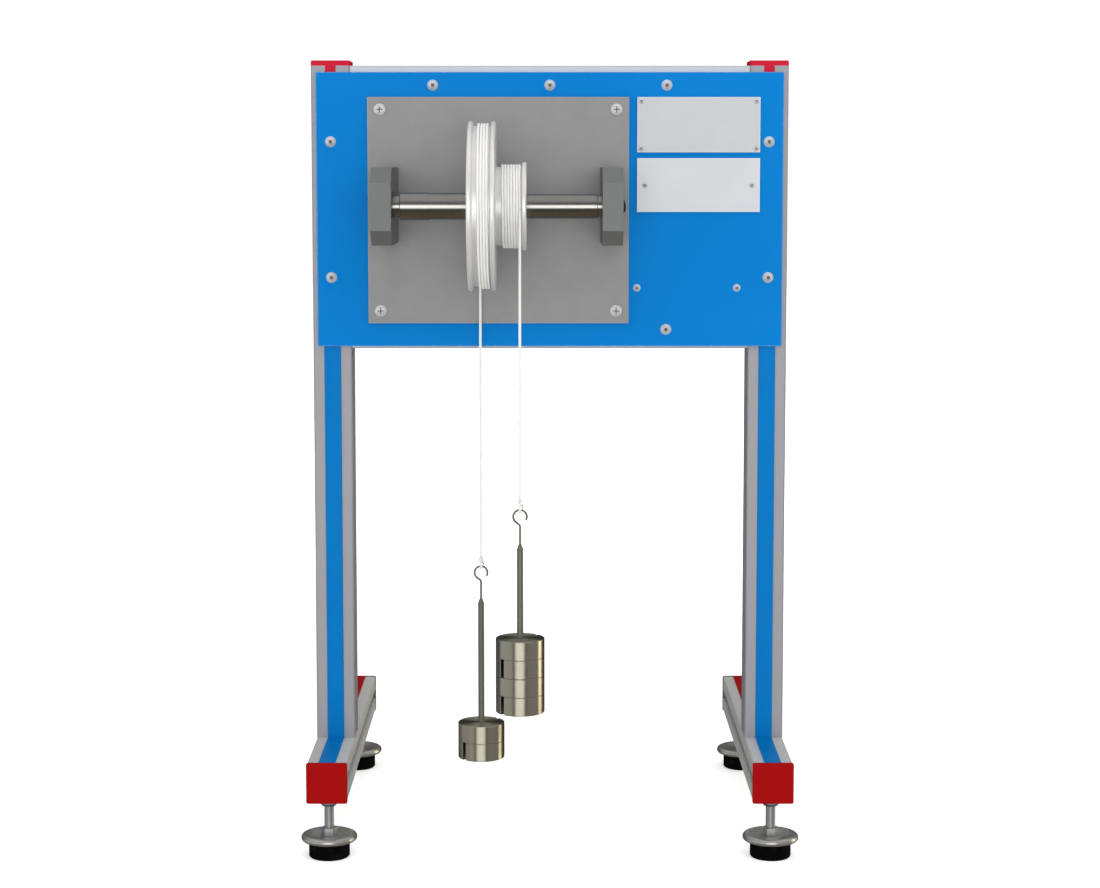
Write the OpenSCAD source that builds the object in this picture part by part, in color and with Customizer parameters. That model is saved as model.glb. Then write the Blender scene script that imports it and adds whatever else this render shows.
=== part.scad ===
// Wheel and axle apparatus: two slotted-mass loads hang from a stepped wheel on a slotted aluminium
// stand. Millimetres, +Z up. The origin is on the bench, under the middle of the whole apparatus.

/* [Stand] */
// Width and depth of the slotted profile
profile_w = 30; // [28:0.5:36]
// Opening of a slot
slot_w = 8.2; // [7.6:0.1:9]
// Thickness of the lips beside a slot
lip_t = 2.2; // [1.6:0.1:2.8]
// Width of the cavity behind the lips
cavity_w = 16.5; // [15.5:0.5:18]
// Depth of a slot from the profile's face
cavity_d = 9; // [8:0.5:10]
// Hole along the profile's core
core_d = 6.8; // [6:0.1:7.2]
// Radius of the profile's outer corners
corner_r = 1.5; // [0.5:0.1:2.5]
// Distance between the centre lines of the uprights
upright_pitch = 336; // [326:1:400]
// Length of an upright
upright_h = 524; // [490:1:600]
// Length of a base beam
base_l = 294; // [270:1:360]
// Length of a base beam in front of the uprights
base_front_l = 78; // [66:1:100]

/* [Caps and cover strips] */
// Thickness of the cap on an upright
top_cap_t = 4; // [2:0.5:6]
// Thickness of the cap on the end of a base beam
end_cap_t = 3; // [2:0.5:6]
// How far an end cap stands past the profile on each side
end_cap_lip = 0.5; // [0:0.1:1]
// Depth of a cap's tongues and pin in the profile
cap_plug_l = 8; // [4:0.5:12]
// Width of a cover strip
strip_w = 13; // [11:0.5:15]
// Thickness of a cover strip outside its slot
strip_t = 1; // [0.6:0.1:1.6]
// Depth of a cover strip's rib in its slot
strip_rib_d = 4; // [3:0.5:6]

/* [Panel and plates] */
// Height of the front panel
panel_h = 210; // [200:1:240]
// Thickness of the front panel
panel_t = 3; // [2:0.5:4]
// Bare edge of an upright beside the panel
panel_side = 4; // [0:0.5:6]
// Bare top of an upright above the panel
panel_drop = 5; // [2:0.5:8]
// How far the bottom rail shows under the panel
rail_peek = 2; // [0:0.5:6]
// Spacing of the panel's screws along its top
panel_screw_x = 89.5; // [70:0.5:110]
// Height between the panel's two screws on an upright
panel_screw_z = 104; // [80:1:130]
// Height of the panel's two small screws above its bottom edge
small_screw_z = 45; // [34:1:60]
// Bare panel from the left upright's centre line to the mounting plate
plate_side = 28.5; // [24:0.5:32]
// Clear height from the mounting plate up to the heads of the panel's top screws
plate_top_room = 4.75; // [1:0.25:10]
// Height of panel left bare under the mounting plate
plate_bottom_room = 18; // [14:0.5:26]
// Thickness of the mounting plate
plate_t = 3; // [2:0.5:4]
// Inset of the mounting plate's screws from its edges
plate_screw_inset = 9.5; // [6:0.5:12]
// Gap between the mounting plate and the two label plates
label_plate_room = 6.5; // [2:0.5:12]
// Gap between the label plates and the screw heads on the right upright
label_side_room = 2.75; // [1:0.25:8]
// Height of the upper label plate
label_upper_h = 42; // [30:1:50]
// Height of the lower label plate
label_lower_h = 41; // [30:1:50]
// Thickness of the label plates
label_t = 1.2; // [0.8:0.1:2]

/* [Axle and bearings] */
// Height of the axle above the mounting plate's middle
axle_rise = 4.5; // [0:0.5:10]
// Distance from the mounting plate to the axle
axle_reach = 69; // [66:0.5:80]
// Thickness of a bearing support
support_t = 15; // [10:0.5:18]
// Height of a bearing support
support_h = 57; // [48:1:64]
// Bearing support in front of the axle
support_nose = 21; // [19:0.5:28]
// Bevel on the front corners of a bearing support
support_bevel = 11; // [4:0.5:16]
// Mounting plate left of the left bearing support
support_left_edge = 8.5; // [4:0.5:12]
// Mounting plate right of the right bearing support
support_right_edge = 7; // [4:0.5:12]
// Clear distance between the bearing supports
support_gap = 154.5; // [152:0.5:157]
// Diameter of the axle in its bearings
journal_d = 12; // [10:0.5:14]
// Diameter of the axle's thick right part
shoulder_d = 18; // [17:0.5:22]
// Diameter of the neck beside each bearing
neck_d = 16.5; // [15.8:0.1:17]
// Length of the neck on the left sleeve
sleeve_neck_l = 5.4; // [3:0.1:8]
// Length of the neck at the right end
axle_neck_l = 3.5; // [2:0.1:6]
// Length of the left sleeve without its neck
sleeve_l = 50.6; // [46:0.1:52]
// Diameter of the left sleeve
sleeve_d = 20.4; // [19:0.1:24]
// Outside diameter of a bearing
bearing_d = 24; // [23:0.5:26]
// Width of a bearing
bearing_w = 6; // [5:0.5:8]
// Diameter of a bearing's balls
ball_d = 3.1; // [2.9:0.1:3.3]

/* [Stepped wheel] */
// Diameter of the wheel at the middle of its cord
wheel_d = 120; // [100:1:124]
// Diameter of the drum at the middle of its cord
drum_d = 60; // [50:1:80]
// Height of the flanges above the cord grooves
flange_h = 3.5; // [2.6:0.1:4]
// Thickness of the wheel's left flange
wheel_flange_t = 3.5; // [2:0.1:5]
// Width of the wheel's groove
groove_w = 13.5; // [12.6:0.1:16]
// Thickness of the flange between wheel and drum
web_t = 3; // [2:0.1:5]
// Width of the drum's groove
drum_l = 19.3; // [18:0.1:24]
// Thickness of the drum's end flange
drum_flange_t = 3.4; // [2:0.1:5]

/* [Cords] */
// Diameter of the cords
cord_d = 2; // [1.6:0.1:2]
// Gap between neighbouring turns of a winding
turn_gap = 0.45; // [0.42:0.01:0.6]
// Turns wound on the wheel
wheel_turns = 3; // [2:1:3]
// How far the wheel's cord leaves beside its first turn
wheel_lead = 1.6; // [0:0.1:2]
// Turns wound on the drum
drum_turns = 5.5; // [4.5:1:5.5]

/* [Loads] */
// Height of the wheel load's underside above the bench
wheel_load_z = 65; // [40:1:120]
// Height of the axle load's underside above the bench
axle_load_z = 122.5; // [80:0.5:160]
// Discs on the wheel load
wheel_discs = 2; // [1:1:2]
// Discs on the axle load
axle_discs = 4; // [1:1:4]
// Diameter of a slotted disc
disc_d = 36; // [30:0.5:42]
// Thickness of a slotted disc
disc_t = 13.8; // [10:0.1:16]
// Width of a disc's slot
disc_slot_w = 3.2; // [2.6:0.1:4]
// Direction of the lowest disc's slot, from the right towards the back
disc_slot_angle = 224; // [180:1:270]
// Length of a hanger from its foot to the top of its hook
hanger_l = 151; // [130:1:170]
// Diameter of a hanger's rod
rod_d = 4.8; // [4:0.1:6]
// Diameter of a hanger's foot
hanger_foot_d = 13; // [10:0.5:16]
// Thickness of a hanger's foot
hanger_foot_t = 2; // [1.5:0.1:3]
// Height of the cone above the rod
cone_h = 4.5; // [3:0.5:8]
// Diameter of the hook's wire
wire_d = 1.7; // [1.4:0.1:2]
// Radius of the hook at the middle of its wire
hook_r = 5; // [4.6:0.1:6]
// Length of the thin stem under the hook
stem_l = 12; // [8:0.5:16]

/* [Feet] */
// Height of the base beams above the bench
foot_h = 46; // [44:1:60]
// Distance of a foot's middle from the end of its base beam's cap
foot_inset = 19; // [16:0.5:30]
// Diameter of a foot's disc
foot_disc_d = 42.5; // [38:0.5:50]
// Thickness of the rolled rim of a foot's disc
foot_rim_t = 5.2; // [4:0.1:6]
// Depth of the shallow dish inside that rim
foot_dish = 1.5; // [0.5:0.1:2]
// Diameter of a foot's rubber pad
pad_d = 31; // [24:0.5:33]
// Height of a foot's rubber pad
pad_h = 12.5; // [10:0.5:14]
// Width across flats of the hexagon on a foot
foot_hex_w = 10.5; // [9:0.5:13]
// Height of that hexagon above the dish
foot_hex_h = 6.2; // [5:0.1:9]
// Diameter of a foot's stud
stud_d = 7.2; // [6:0.1:7.4]
// Width across flats of the nut under the base beam
foot_nut_w = 13; // [11:0.5:16]
// Height of that nut
foot_nut_h = 6.5; // [4:0.5:8]

/* [Hidden] */

$fn = 64;
eps = 0.5;

aluminium = [0.66, 0.68, 0.70];
cap_red = [0.66, 0.06, 0.06];
cap_grey = [0.44, 0.45, 0.46];
strip_blue = [0.01, 0.48, 0.76];
panel_blue = [0.00, 0.50, 0.82];
steel = [0.72, 0.72, 0.71];
cord_white = [0.93, 0.93, 0.91];
black = [0.06, 0.06, 0.06];

// Heights and widths of the stand
base_top = foot_h + profile_w;
upright_top = base_top + upright_h;
half_w = profile_w / 2;
upright_x = upright_pitch / 2;
inner_x = upright_x - half_w;
panel_w = upright_pitch + profile_w - 2 * panel_side;
panel_z = upright_top - panel_drop - panel_h;
panel_mid_z = panel_z + panel_h / 2;
top_rail_z = upright_top - half_w;
bottom_rail_z = panel_z - rail_peek + half_w;
panel_screw_places = concat(
  [for (x = [-1:1]) [x * panel_screw_x, top_rail_z, 1]],
  [for (s = [-1, 1], u = [-1, 1]) [s * upright_x, panel_mid_z + u * panel_screw_z / 2, 0]],
  [[panel_screw_x, bottom_rail_z, 1]]);

// The slot nuts, with a little room in their slots
nut_room = 0.15;
nut_l = 16;
nut_step = 1.6;
nut_t = 3.8;

// Screws: head diameter, head height, shank diameter and length under the head
thread_room = 0.05;
hole_room = 0.25;
panel_screw = [8.5, 2.6, 4.9, 12];
plate_screw = [9, 2.4, 3.9, plate_t + panel_t];
label_screw = [4.4, 1.3, 1.9, label_t + 2];
small_screw = [6, 1.8, 2.9, panel_t + 3.6];
support_screw = [10, 6, 5, 18];
frame_screw = [13, 3.8, core_d - 2 * thread_room, lip_t + 18];
end_screw = [12, 2.7, 5.9, 14];
access_d = 7.5;

// Plates on the panel
plate_y = -panel_t - plate_t;
plate_left_x = plate_side - upright_x;
plate_w = support_left_edge + 2 * support_t + support_gap + support_right_edge;
plate_top_z = top_rail_z - panel_screw[0] / 2 - plate_top_room;
plate_h = plate_top_z - panel_z - plate_bottom_room;
plate_mid_z = plate_top_z - plate_h / 2;
label_gap_top = 19;
label_gap = 4.5;
label_upper_z = panel_z + panel_h - label_gap_top - label_upper_h / 2;
label_lower_z = label_upper_z - label_upper_h / 2 - label_gap - label_lower_h / 2;
label_upper_inset = 3;
label_lower_inset = 6;
label_left_x = plate_left_x + plate_w + label_plate_room;
label_right_x = upright_x - panel_screw[0] / 2 - label_side_room;
label_w = label_right_x - label_left_x;
label_x = (label_left_x + label_right_x) / 2;
small_screw_inset = 17;
small_screw_x = [label_left_x, label_right_x - small_screw_inset];
support_screw_inset = 10;

// Stations along the axle
axle_y = plate_y - axle_reach;
axle_z = plate_mid_z + axle_rise;
left_support_x = plate_left_x + support_left_edge;
gap_x = left_support_x + support_t;
right_support_x = gap_x + support_gap;
sleeve_x = gap_x + sleeve_neck_l;
wheel_x = sleeve_x + sleeve_l;
groove_x = wheel_x + wheel_flange_t;
web_x = groove_x + groove_w;
drum_x = web_x + web_t;
drum_end_x = drum_x + drum_l;
hub_end_x = drum_end_x + drum_flange_t;
axle_neck_x = right_support_x - axle_neck_l;
seat_d = (journal_d + shoulder_d) / 2;
fit_room = 0.02;
running_room = 0.05;
passage_d = journal_d + 1.6;
bearing_mid_r = (journal_d + bearing_d) / 4;
race_gap = 2.6;
ball_count = 11;
shield_t = 0.4;
shield_inset = 0.3;
key_w = 5;
key_h = 5;
key_l = 30;
key_z = seat_d / 2 - 3;

// Cords: the wheel's leaves at the back, the drum's at the front
cord_r = cord_d / 2;
wheel_floor_r = wheel_d / 2 - cord_r;
drum_floor_r = drum_d / 2 - cord_r;
turn_pitch = cord_d + turn_gap;
wheel_cord_y = axle_y + wheel_d / 2;
axle_cord_y = axle_y - drum_d / 2;
edge_gap = 0.3;
wheel_cord_x = web_x - cord_r - edge_gap - wheel_turns * turn_pitch - wheel_lead;
axle_cord_x = drum_end_x - cord_r - edge_gap;
cord_top_z = axle_z - cord_d;
rings_per_turn = 24;
winding_sides = 6;
cord_sides = 8;

// Loop and knot at the hook
loop_r = 2.6;
loop_room = 0.3;
knot_d = 3.6;
knot_h = 4;

// Hangers: the hook is an arc, a short straight run and an elbow above the stem. The run is a hair
// thinner than the bends and laps into both.
hook_start = -31;
hook_end = 232;
elbow_r = 2.5;
hook_z = hanger_l - wire_d / 2 - hook_r;
run_d = wire_d - 0.02;
run_lap = 0.2;
hook_run = [-sin(hook_end), cos(hook_end)];
arc_end = hook_r * [cos(hook_end), sin(hook_end)];
elbow_turn = hook_end - 180;
run_l = -arc_end[0] / hook_run[0] - elbow_r * tan(elbow_turn / 2);
run_end = arc_end + run_l * hook_run;
stem_top_z = hook_z + run_end[1] - elbow_r * sin(elbow_turn);
cone_z = stem_top_z - stem_l - cone_h;
disc_bore_room = 0.4;
disc_edge = 0.4;
disc_foot_room = 0.3;
loop_z = hook_z + hook_r + loop_r - cord_r - wire_d / 2 - loop_room;
knot_z = loop_z + loop_r;
knot_top_z = knot_z + knot_h;

// Feet
front_foot_y = -base_front_l - end_cap_t + foot_inset;
rear_foot_y = base_l - base_front_l + end_cap_t - foot_inset;
foot_places = [[-upright_x, front_foot_y], [upright_x, front_foot_y],
  [-upright_x, rear_foot_y], [upright_x, rear_foot_y]];
foot_dish_steps = 6;
stud_top_z = foot_h + 16;
stud_hole_d = stud_d + 0.6;

// The front faces of the uprights lie at this Y, so that the apparatus is centred on the origin
front_reach = max(base_front_l + end_cap_t, disc_d / 2 - axle_cord_y,
  wheel_floor_r + flange_h - axle_y, foot_disc_d / 2 - front_foot_y);
rear_reach = max(base_l - base_front_l + end_cap_t, rear_foot_y + foot_disc_d / 2);
frame_y = (front_reach - rear_reach) / 2;

// Slot of the profile, open towards +Y
slot_points = [
  [-slot_w / 2, half_w + eps], [-slot_w / 2, half_w - lip_t],
  [-cavity_w / 2, half_w - lip_t], [-cavity_w / 2, half_w - lip_t - nut_step],
  [-cavity_w / 2 + cavity_d - lip_t - nut_step, half_w - cavity_d],
  [cavity_w / 2 - cavity_d + lip_t + nut_step, half_w - cavity_d],
  [cavity_w / 2, half_w - lip_t - nut_step], [cavity_w / 2, half_w - lip_t],
  [slot_w / 2, half_w - lip_t], [slot_w / 2, half_w + eps]];

// A point and the radial direction of a winding, at an angle from where the cord leaves.
// side is 1 where it leaves at the back and -1 at the front; way is the sign of its walk along X.
// Over the first half turn the cord also walks its lead.
function winding_out(side, angle) = [0, side * cos(angle), sin(angle)];
function winding_along(side, angle) = [0, -side * sin(angle), cos(angle)];
function winding_walk(lead, angle) =
  turn_pitch * angle / 360 + lead * (1 - cos(min(angle, 180))) / 2;
function winding_point(x, r, side, way, lead, angle) =
  [x + way * winding_walk(lead, angle), axle_y, axle_z] + r * winding_out(side, angle);
function ring(middle, out, along, sides) = let (across = cross(along, out))
  [for (k = [0:sides - 1])
    middle + cord_r * (cos(360 * k / sides) * out + sin(360 * k / sides) * across)];
function winding_path(x, r, side, way, lead, turns) = let (
  steps = round(turns * rings_per_turn), end = steps * 360 / rings_per_turn) concat(
  [winding_point(x, r, side, way, lead, 0) - cord_d * winding_along(side, 0)],
  [for (i = [0:steps]) winding_point(x, r, side, way, lead, i * 360 / rings_per_turn)],
  [winding_point(x, r, side, way, lead, end) + cord_d * winding_along(side, end)]);
function winding_rings(path, side) = let (last = len(path) - 1)
  [for (i = [0:last]) let (angle = (min(max(i, 1), last - 1) - 1) * 360 / rings_per_turn)
    ring(path[i], winding_out(side, angle), winding_along(side, angle), winding_sides)];
// Least distance between a winding's points more than a third of a turn apart, less the cord
function least_gap(path) = let (last = len(path) - 1, apart = rings_per_turn / 3)
  min([for (i = [0:last - apart], j = [i + apart:last]) norm(path[j] - path[i])]) - cord_d;

wheel_winding_path = winding_path(wheel_cord_x, wheel_d / 2, 1, 1, wheel_lead, wheel_turns);
drum_winding_path = winding_path(axle_cord_x, drum_d / 2, -1, -1, 0, drum_turns);
echo("least gap of the wheel's winding", least_gap(wheel_winding_path));
echo("least gap of the drum's winding", least_gap(drum_winding_path));

// General shapes

module on_stand() {
  translate([0, frame_y, 0]) children();
}

module rounded_square(w, r) {
  square([w - 2 * r, w], center = true);
  square([w, w - 2 * r], center = true);
  for (x = [-1, 1], y = [-1, 1]) translate([x, y] * (w / 2 - r)) circle(r);
}

module profile(l) {
  linear_extrude(l) difference() {
    rounded_square(profile_w, corner_r);
    for (a = [0:90:270]) rotate(a) polygon(slot_points);
    circle(d = core_d);
  }
}

// Turned about X from points of radius and station
module turned(points) {
  rotate([0, 90, 0]) rotate_extrude() polygon(points);
}

// Round bar along X from one station to another
module bar_x(d, x0, x1) {
  translate([x0, 0, 0]) rotate([0, 90, 0]) cylinder(d = d, h = x1 - x0);
}

// Closed skin over a row of rings, each a list of as many points
module skin(rings) {
  n = len(rings[0]);
  last = len(rings) - 1;
  sides = [for (i = [0:last - 1], k = [0:n - 1]) let (j = (k + 1) % n)
    each [[i * n + k, (i + 1) * n + k, (i + 1) * n + j], [i * n + k, (i + 1) * n + j, i * n + j]]];
  ends = [for (k = [1:n - 2])
    each [[0, k, k + 1], [last * n, last * n + k + 1, last * n + k]]];
  polyhedron([for (r = rings) each r], concat(sides, ends));
}

// Domed head with its flat side at z = 0
module dome(d, h) {
  sphere_r = (h * h + d * d / 4) / (2 * h);
  intersection() {
    translate([0, 0, h - sphere_r]) sphere(sphere_r);
    cylinder(d = d, h = h);
  }
}

// Screw with a domed head above z = 0, its shank below, and a hexagonal recess
module button_screw(s) {
  difference() {
    dome(s[0], s[1]);
    translate([0, 0, s[1] * 0.4]) cylinder(d = s[0] * 0.38, h = s[1], $fn = 6);
  }
  translate([0, 0, -s[3]]) cylinder(d = s[2], h = s[3] + s[1] * 0.3);
}

// Screw with a rounded cheese head and a cross recess
module pan_screw(s) {
  difference() {
    union() {
      cylinder(d = s[0], h = s[1] * 0.5);
      translate([0, 0, s[1] * 0.5]) dome(s[0], s[1] * 0.5);
    }
    for (a = [0, 90]) rotate(a) translate([0, 0, s[1]])
      cube([s[0] * 0.5, s[0] * 0.12, s[1] * 1.1], center = true);
  }
  translate([0, 0, -s[3]]) cylinder(d = s[2], h = s[3] + s[1] * 0.3);
}

module cap_screw(s) {
  difference() {
    cylinder(d = s[0], h = s[1]);
    translate([0, 0, s[1] * 0.5]) cylinder(d = s[0] * 0.58, h = s[1], $fn = 6);
  }
  translate([0, 0, -s[3]]) cylinder(d = s[2], h = s[3] + s[1] * 0.3);
}

// Turns a screw along Z so that its head faces the front
module facing_front() {
  rotate([90, 0, 0]) children();
}

// Holes for a row of screws, through the stand's front plates
module front_holes(places, d) {
  for (p = places) translate([p[0], eps, p[1]]) rotate([90, 0, 0])
    cylinder(d = d, h = panel_t + plate_t + 2 * eps);
}

// Stand

module upright(side) {
  color(aluminium) on_stand() translate([side * upright_x, half_w, 0]) difference() {
    translate([0, 0, base_top]) profile(upright_h);
    for (z = [top_rail_z, bottom_rail_z]) translate([0, 0, z]) bar_x(access_d, -half_w, half_w);
  }
}

module rail(z) {
  color(aluminium) on_stand() translate([-inner_x, half_w, z]) rotate([0, 90, 0])
    profile(2 * inner_x);
}

module base_beam(side) {
  color(aluminium) on_stand() translate([side * upright_x, 0, 0]) difference() {
    translate([0, -base_front_l, foot_h + half_w]) rotate([-90, 0, 0]) profile(base_l);
    translate([0, half_w, foot_h]) cylinder(d = access_d, h = profile_w);
    for (y = [front_foot_y, rear_foot_y]) translate([0, y, foot_h - eps])
      cylinder(d = stud_hole_d, h = profile_w - lip_t);
  }
}

module left_upright() { upright(-1); }
module right_upright() { upright(1); }
module top_rail() { rail(top_rail_z); }
module bottom_rail() { rail(bottom_rail_z); }
module left_base_beam() { base_beam(-1); }
module right_base_beam() { base_beam(1); }

// Cap with tongues that fill the ends of the profile's slots
module upright_cap(side) {
  tongue_w = slot_w - 2 * nut_room;
  taper_d = lip_t + nut_step + cavity_w / 2 - tongue_w / 2;
  tongue_d = min(cavity_d, taper_d) - 2 * nut_room;
  bevel = 0.6;
  color(cap_red) on_stand() translate([side * upright_x, half_w, upright_top]) {
    hull() {
      linear_extrude(top_cap_t - bevel) rounded_square(profile_w, corner_r, $fn = 24);
      linear_extrude(top_cap_t) rounded_square(profile_w - 2 * bevel, corner_r, $fn = 24);
    }
    for (a = [0:90:270]) rotate(a) translate([-tongue_w / 2, half_w - tongue_d, -cap_plug_l])
      cube([tongue_w, tongue_d, cap_plug_l + top_cap_t / 2]);
  }
}

module left_upright_cap() { upright_cap(-1); }
module right_upright_cap() { upright_cap(1); }

// Cap with a pin in the profile's core, its outer face at y = 0 and facing the front
module end_cap() {
  bevel = 0.6;
  w = profile_w + 2 * end_cap_lip;
  translate([0, end_cap_t, foot_h + half_w]) rotate([90, 0, 0]) {
    hull() {
      linear_extrude(end_cap_t - bevel) rounded_square(w, corner_r, $fn = 24);
      linear_extrude(end_cap_t) rounded_square(w - 2 * bevel, corner_r, $fn = 24);
    }
    translate([0, 0, -cap_plug_l]) cylinder(d = core_d - 2 * thread_room, h = cap_plug_l + 1);
  }
}

module front_end_caps() {
  color(cap_red) on_stand() for (s = [-1, 1])
    translate([s * upright_x, -base_front_l - end_cap_t, 0]) end_cap();
}

module rear_end_caps() {
  color(cap_grey) on_stand() for (s = [-1, 1])
    translate([s * upright_x, base_l - base_front_l + end_cap_t, 0]) rotate(180) end_cap();
}

// Cover strip along Z, its flat outside towards -Y and its rib in the slot behind y = 0
module cover_strip(l) {
  rib_w = slot_w - 2 * nut_room;
  barb = 0.7;
  linear_extrude(l) polygon([
    [-strip_w / 2, 0], [-strip_w / 2 + 0.4, -strip_t], [strip_w / 2 - 0.4, -strip_t],
    [strip_w / 2, 0], [rib_w / 2, 0], [rib_w / 2, lip_t + nut_room],
    [rib_w / 2 + barb, lip_t + nut_room], [rib_w / 2, strip_rib_d], [rib_w / 2 - 1, strip_rib_d],
    [rib_w / 2 - 1, 0.8], [1 - rib_w / 2, 0.8], [1 - rib_w / 2, strip_rib_d],
    [-rib_w / 2, strip_rib_d], [-rib_w / 2 - barb, lip_t + nut_room],
    [-rib_w / 2, lip_t + nut_room], [-rib_w / 2, 0]]);
}

module upright_strip(side) {
  color(strip_blue) on_stand() translate([side * upright_x, 0, base_top])
    cover_strip(panel_z - base_top);
}

module left_upright_strip() { upright_strip(-1); }
module right_upright_strip() { upright_strip(1); }

// Strip on top of a base beam, from one Y to another
module base_strip(side, y0, y1) {
  translate([side * upright_x, y0, base_top]) rotate([-90, 0, 0]) cover_strip(y1 - y0);
}

module front_base_strips() {
  color(strip_blue) on_stand() for (s = [-1, 1]) base_strip(s, -base_front_l, -strip_t);
}

module rear_base_strips() {
  color(cap_red) on_stand() for (s = [-1, 1])
    base_strip(s, profile_w, base_l - base_front_l);
}

// Screws that join rails to uprights and uprights to base beams, heads inside the slots
module frame_screws() {
  color(steel) on_stand() for (s = [-1, 1]) {
    for (z = [top_rail_z, bottom_rail_z])
      translate([s * (inner_x + lip_t), half_w, z]) rotate([0, s * 90, 0])
        button_screw(frame_screw);
    translate([s * upright_x, half_w, base_top - lip_t]) rotate([180, 0, 0])
      button_screw(frame_screw);
  }
}

// Nut that slides in a slot open towards the front, threaded along Y
module slot_nut(thread_d) {
  wide = cavity_w / 2 - nut_room;
  neck = slot_w / 2 - nut_room;
  floor_d = lip_t + nut_t;
  difference() {
    linear_extrude(nut_l, center = true) polygon([
      [-neck, 0.6], [neck, 0.6], [neck, lip_t], [wide - 0.2, lip_t],
      [wide - 0.2, lip_t + nut_step], [wide - nut_t + nut_step, floor_d],
      [nut_t - nut_step - wide, floor_d], [0.2 - wide, lip_t + nut_step],
      [0.2 - wide, lip_t], [-neck, lip_t]]);
    rotate([-90, 0, 0]) cylinder(d = thread_d + 2 * thread_room, h = floor_d + 1);
  }
}

module slot_nuts() {
  color(steel) on_stand() {
    for (p = panel_screw_places) translate([p[0], 0, p[1]]) rotate([0, 90 * p[2], 0])
      slot_nut(panel_screw[2]);
    for (p = foot_places) translate([p[0], p[1], foot_h]) rotate([90, 0, 0]) slot_nut(stud_d);
  }
}

// Panel and plates

plate_screw_places = [
  for (x = [-1, 1], z = [-1, 1])
    [plate_left_x + plate_w / 2 + x * (plate_w / 2 - plate_screw_inset),
      plate_mid_z + z * (plate_h / 2 - plate_screw_inset)]];
support_screw_places = [
  for (x = [left_support_x, right_support_x], z = [-1, 1])
    [x + support_t / 2, axle_z + z * (support_h / 2 - support_screw_inset)]];
small_screw_places = [for (x = small_screw_x) [x, panel_z + small_screw_z]];
label_screw_places = concat(
  [for (x = [-1, 1], z = [-1, 1]) [label_x + x * (label_w / 2 - label_upper_inset),
    label_upper_z + z * (label_upper_h / 2 - label_upper_inset)]],
  [for (x = [-1, 1]) [label_x + x * (label_w / 2 - label_lower_inset), label_lower_z]]);

module front_panel() {
  color(panel_blue) on_stand() difference() {
    translate([-panel_w / 2, -panel_t, panel_z]) cube([panel_w, panel_t, panel_h]);
    front_holes(panel_screw_places, panel_screw[2] + 2 * hole_room);
    front_holes(plate_screw_places, plate_screw[2] + 2 * thread_room);
    front_holes(support_screw_places, support_screw[2] + 2 * hole_room);
    front_holes(small_screw_places, small_screw[2] + 2 * hole_room);
    front_holes(label_screw_places, label_screw[2] + 2 * thread_room);
  }
}

module mounting_plate() {
  color([0.54, 0.54, 0.54]) on_stand() difference() {
    translate([plate_left_x, plate_y, plate_top_z - plate_h]) cube([plate_w, plate_t, plate_h]);
    front_holes(plate_screw_places, plate_screw[2] + 2 * hole_room);
    front_holes(support_screw_places, support_screw[2] + 2 * hole_room);
  }
}

module label_plate(h, z) {
  color([0.80, 0.80, 0.79]) on_stand() difference() {
    translate([label_x - label_w / 2, -panel_t - label_t, z - h / 2]) cube([label_w, label_t, h]);
    front_holes(label_screw_places, label_screw[2] + 2 * hole_room);
  }
}

module upper_label_plate() { label_plate(label_upper_h, label_upper_z); }
module lower_label_plate() { label_plate(label_lower_h, label_lower_z); }

module panel_screws() {
  color(steel) on_stand() for (p = panel_screw_places)
    translate([p[0], -panel_t, p[1]]) facing_front() button_screw(panel_screw);
}

module plate_screws() {
  color(steel) on_stand() for (p = plate_screw_places)
    translate([p[0], plate_y, p[1]]) facing_front() pan_screw(plate_screw);
}

module label_screws() {
  color(steel) on_stand() for (p = label_screw_places)
    translate([p[0], -panel_t - label_t, p[1]]) facing_front() button_screw(label_screw);
}

// Two small screws in the panel, each with its nut behind
module small_screws() {
  nut_w = 5.5;
  color(steel) on_stand() for (p = small_screw_places) {
    translate([p[0], -panel_t, p[1]]) facing_front() button_screw(small_screw);
    translate([p[0], 0, p[1]]) rotate([-90, 0, 0]) difference() {
      cylinder(d = nut_w / cos(30), h = 2.4, $fn = 6);
      translate([0, 0, -1]) cylinder(d = small_screw[2] + 2 * thread_room, h = 5);
    }
  }
}

// Screws from behind the panel into the bearing supports
module support_screws() {
  color(steel) on_stand() for (p = support_screw_places)
    translate([p[0], 0, p[1]]) rotate([-90, 0, 0]) cap_screw(support_screw);
}

// Bearing supports and bearings

// Block between two stations, with the bearing pocket in its inner face
module bearing_support(x, inner_face, way) {
  front_y = axle_y - support_nose;
  half_h = support_h / 2;
  b = support_bevel;
  color([0.50, 0.51, 0.50]) on_stand() difference() {
    translate([x, 0, axle_z]) rotate([90, 0, 90]) linear_extrude(support_t) polygon([
      [plate_y, -half_h], [plate_y, half_h], [front_y + b, half_h], [front_y, half_h - b],
      [front_y, b - half_h], [front_y + b, -half_h]]);
    translate([0, axle_y, axle_z]) {
      bar_x(passage_d, x - 1, x + support_t + 1);
      translate([inner_face - way, 0, 0]) rotate([0, way * 90, 0])
        cylinder(d = bearing_d, h = bearing_w + 1);
    }
    for (p = support_screw_places) translate([p[0], plate_y + eps, p[1]]) rotate([90, 0, 0])
      cylinder(d = support_screw[2] + 2 * thread_room, h = support_screw[3] - panel_t - plate_t + 2);
  }
}

module left_bearing_support() { bearing_support(left_support_x, gap_x, -1); }
module right_bearing_support() { bearing_support(right_support_x, right_support_x, 1); }

// Places a bearing made along X from x = 0 into a support
module in_support(inner_face, way) {
  color(steel) on_stand() translate([inner_face, axle_y, axle_z])
    mirror([way < 0 ? 1 : 0, 0, 0]) children();
}

module ball_track() {
  rotate([0, 90, 0]) translate([0, 0, bearing_w / 2]) rotate_extrude()
    translate([bearing_mid_r, 0]) circle(d = ball_d + 2 * running_room, $fn = 32);
}

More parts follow.
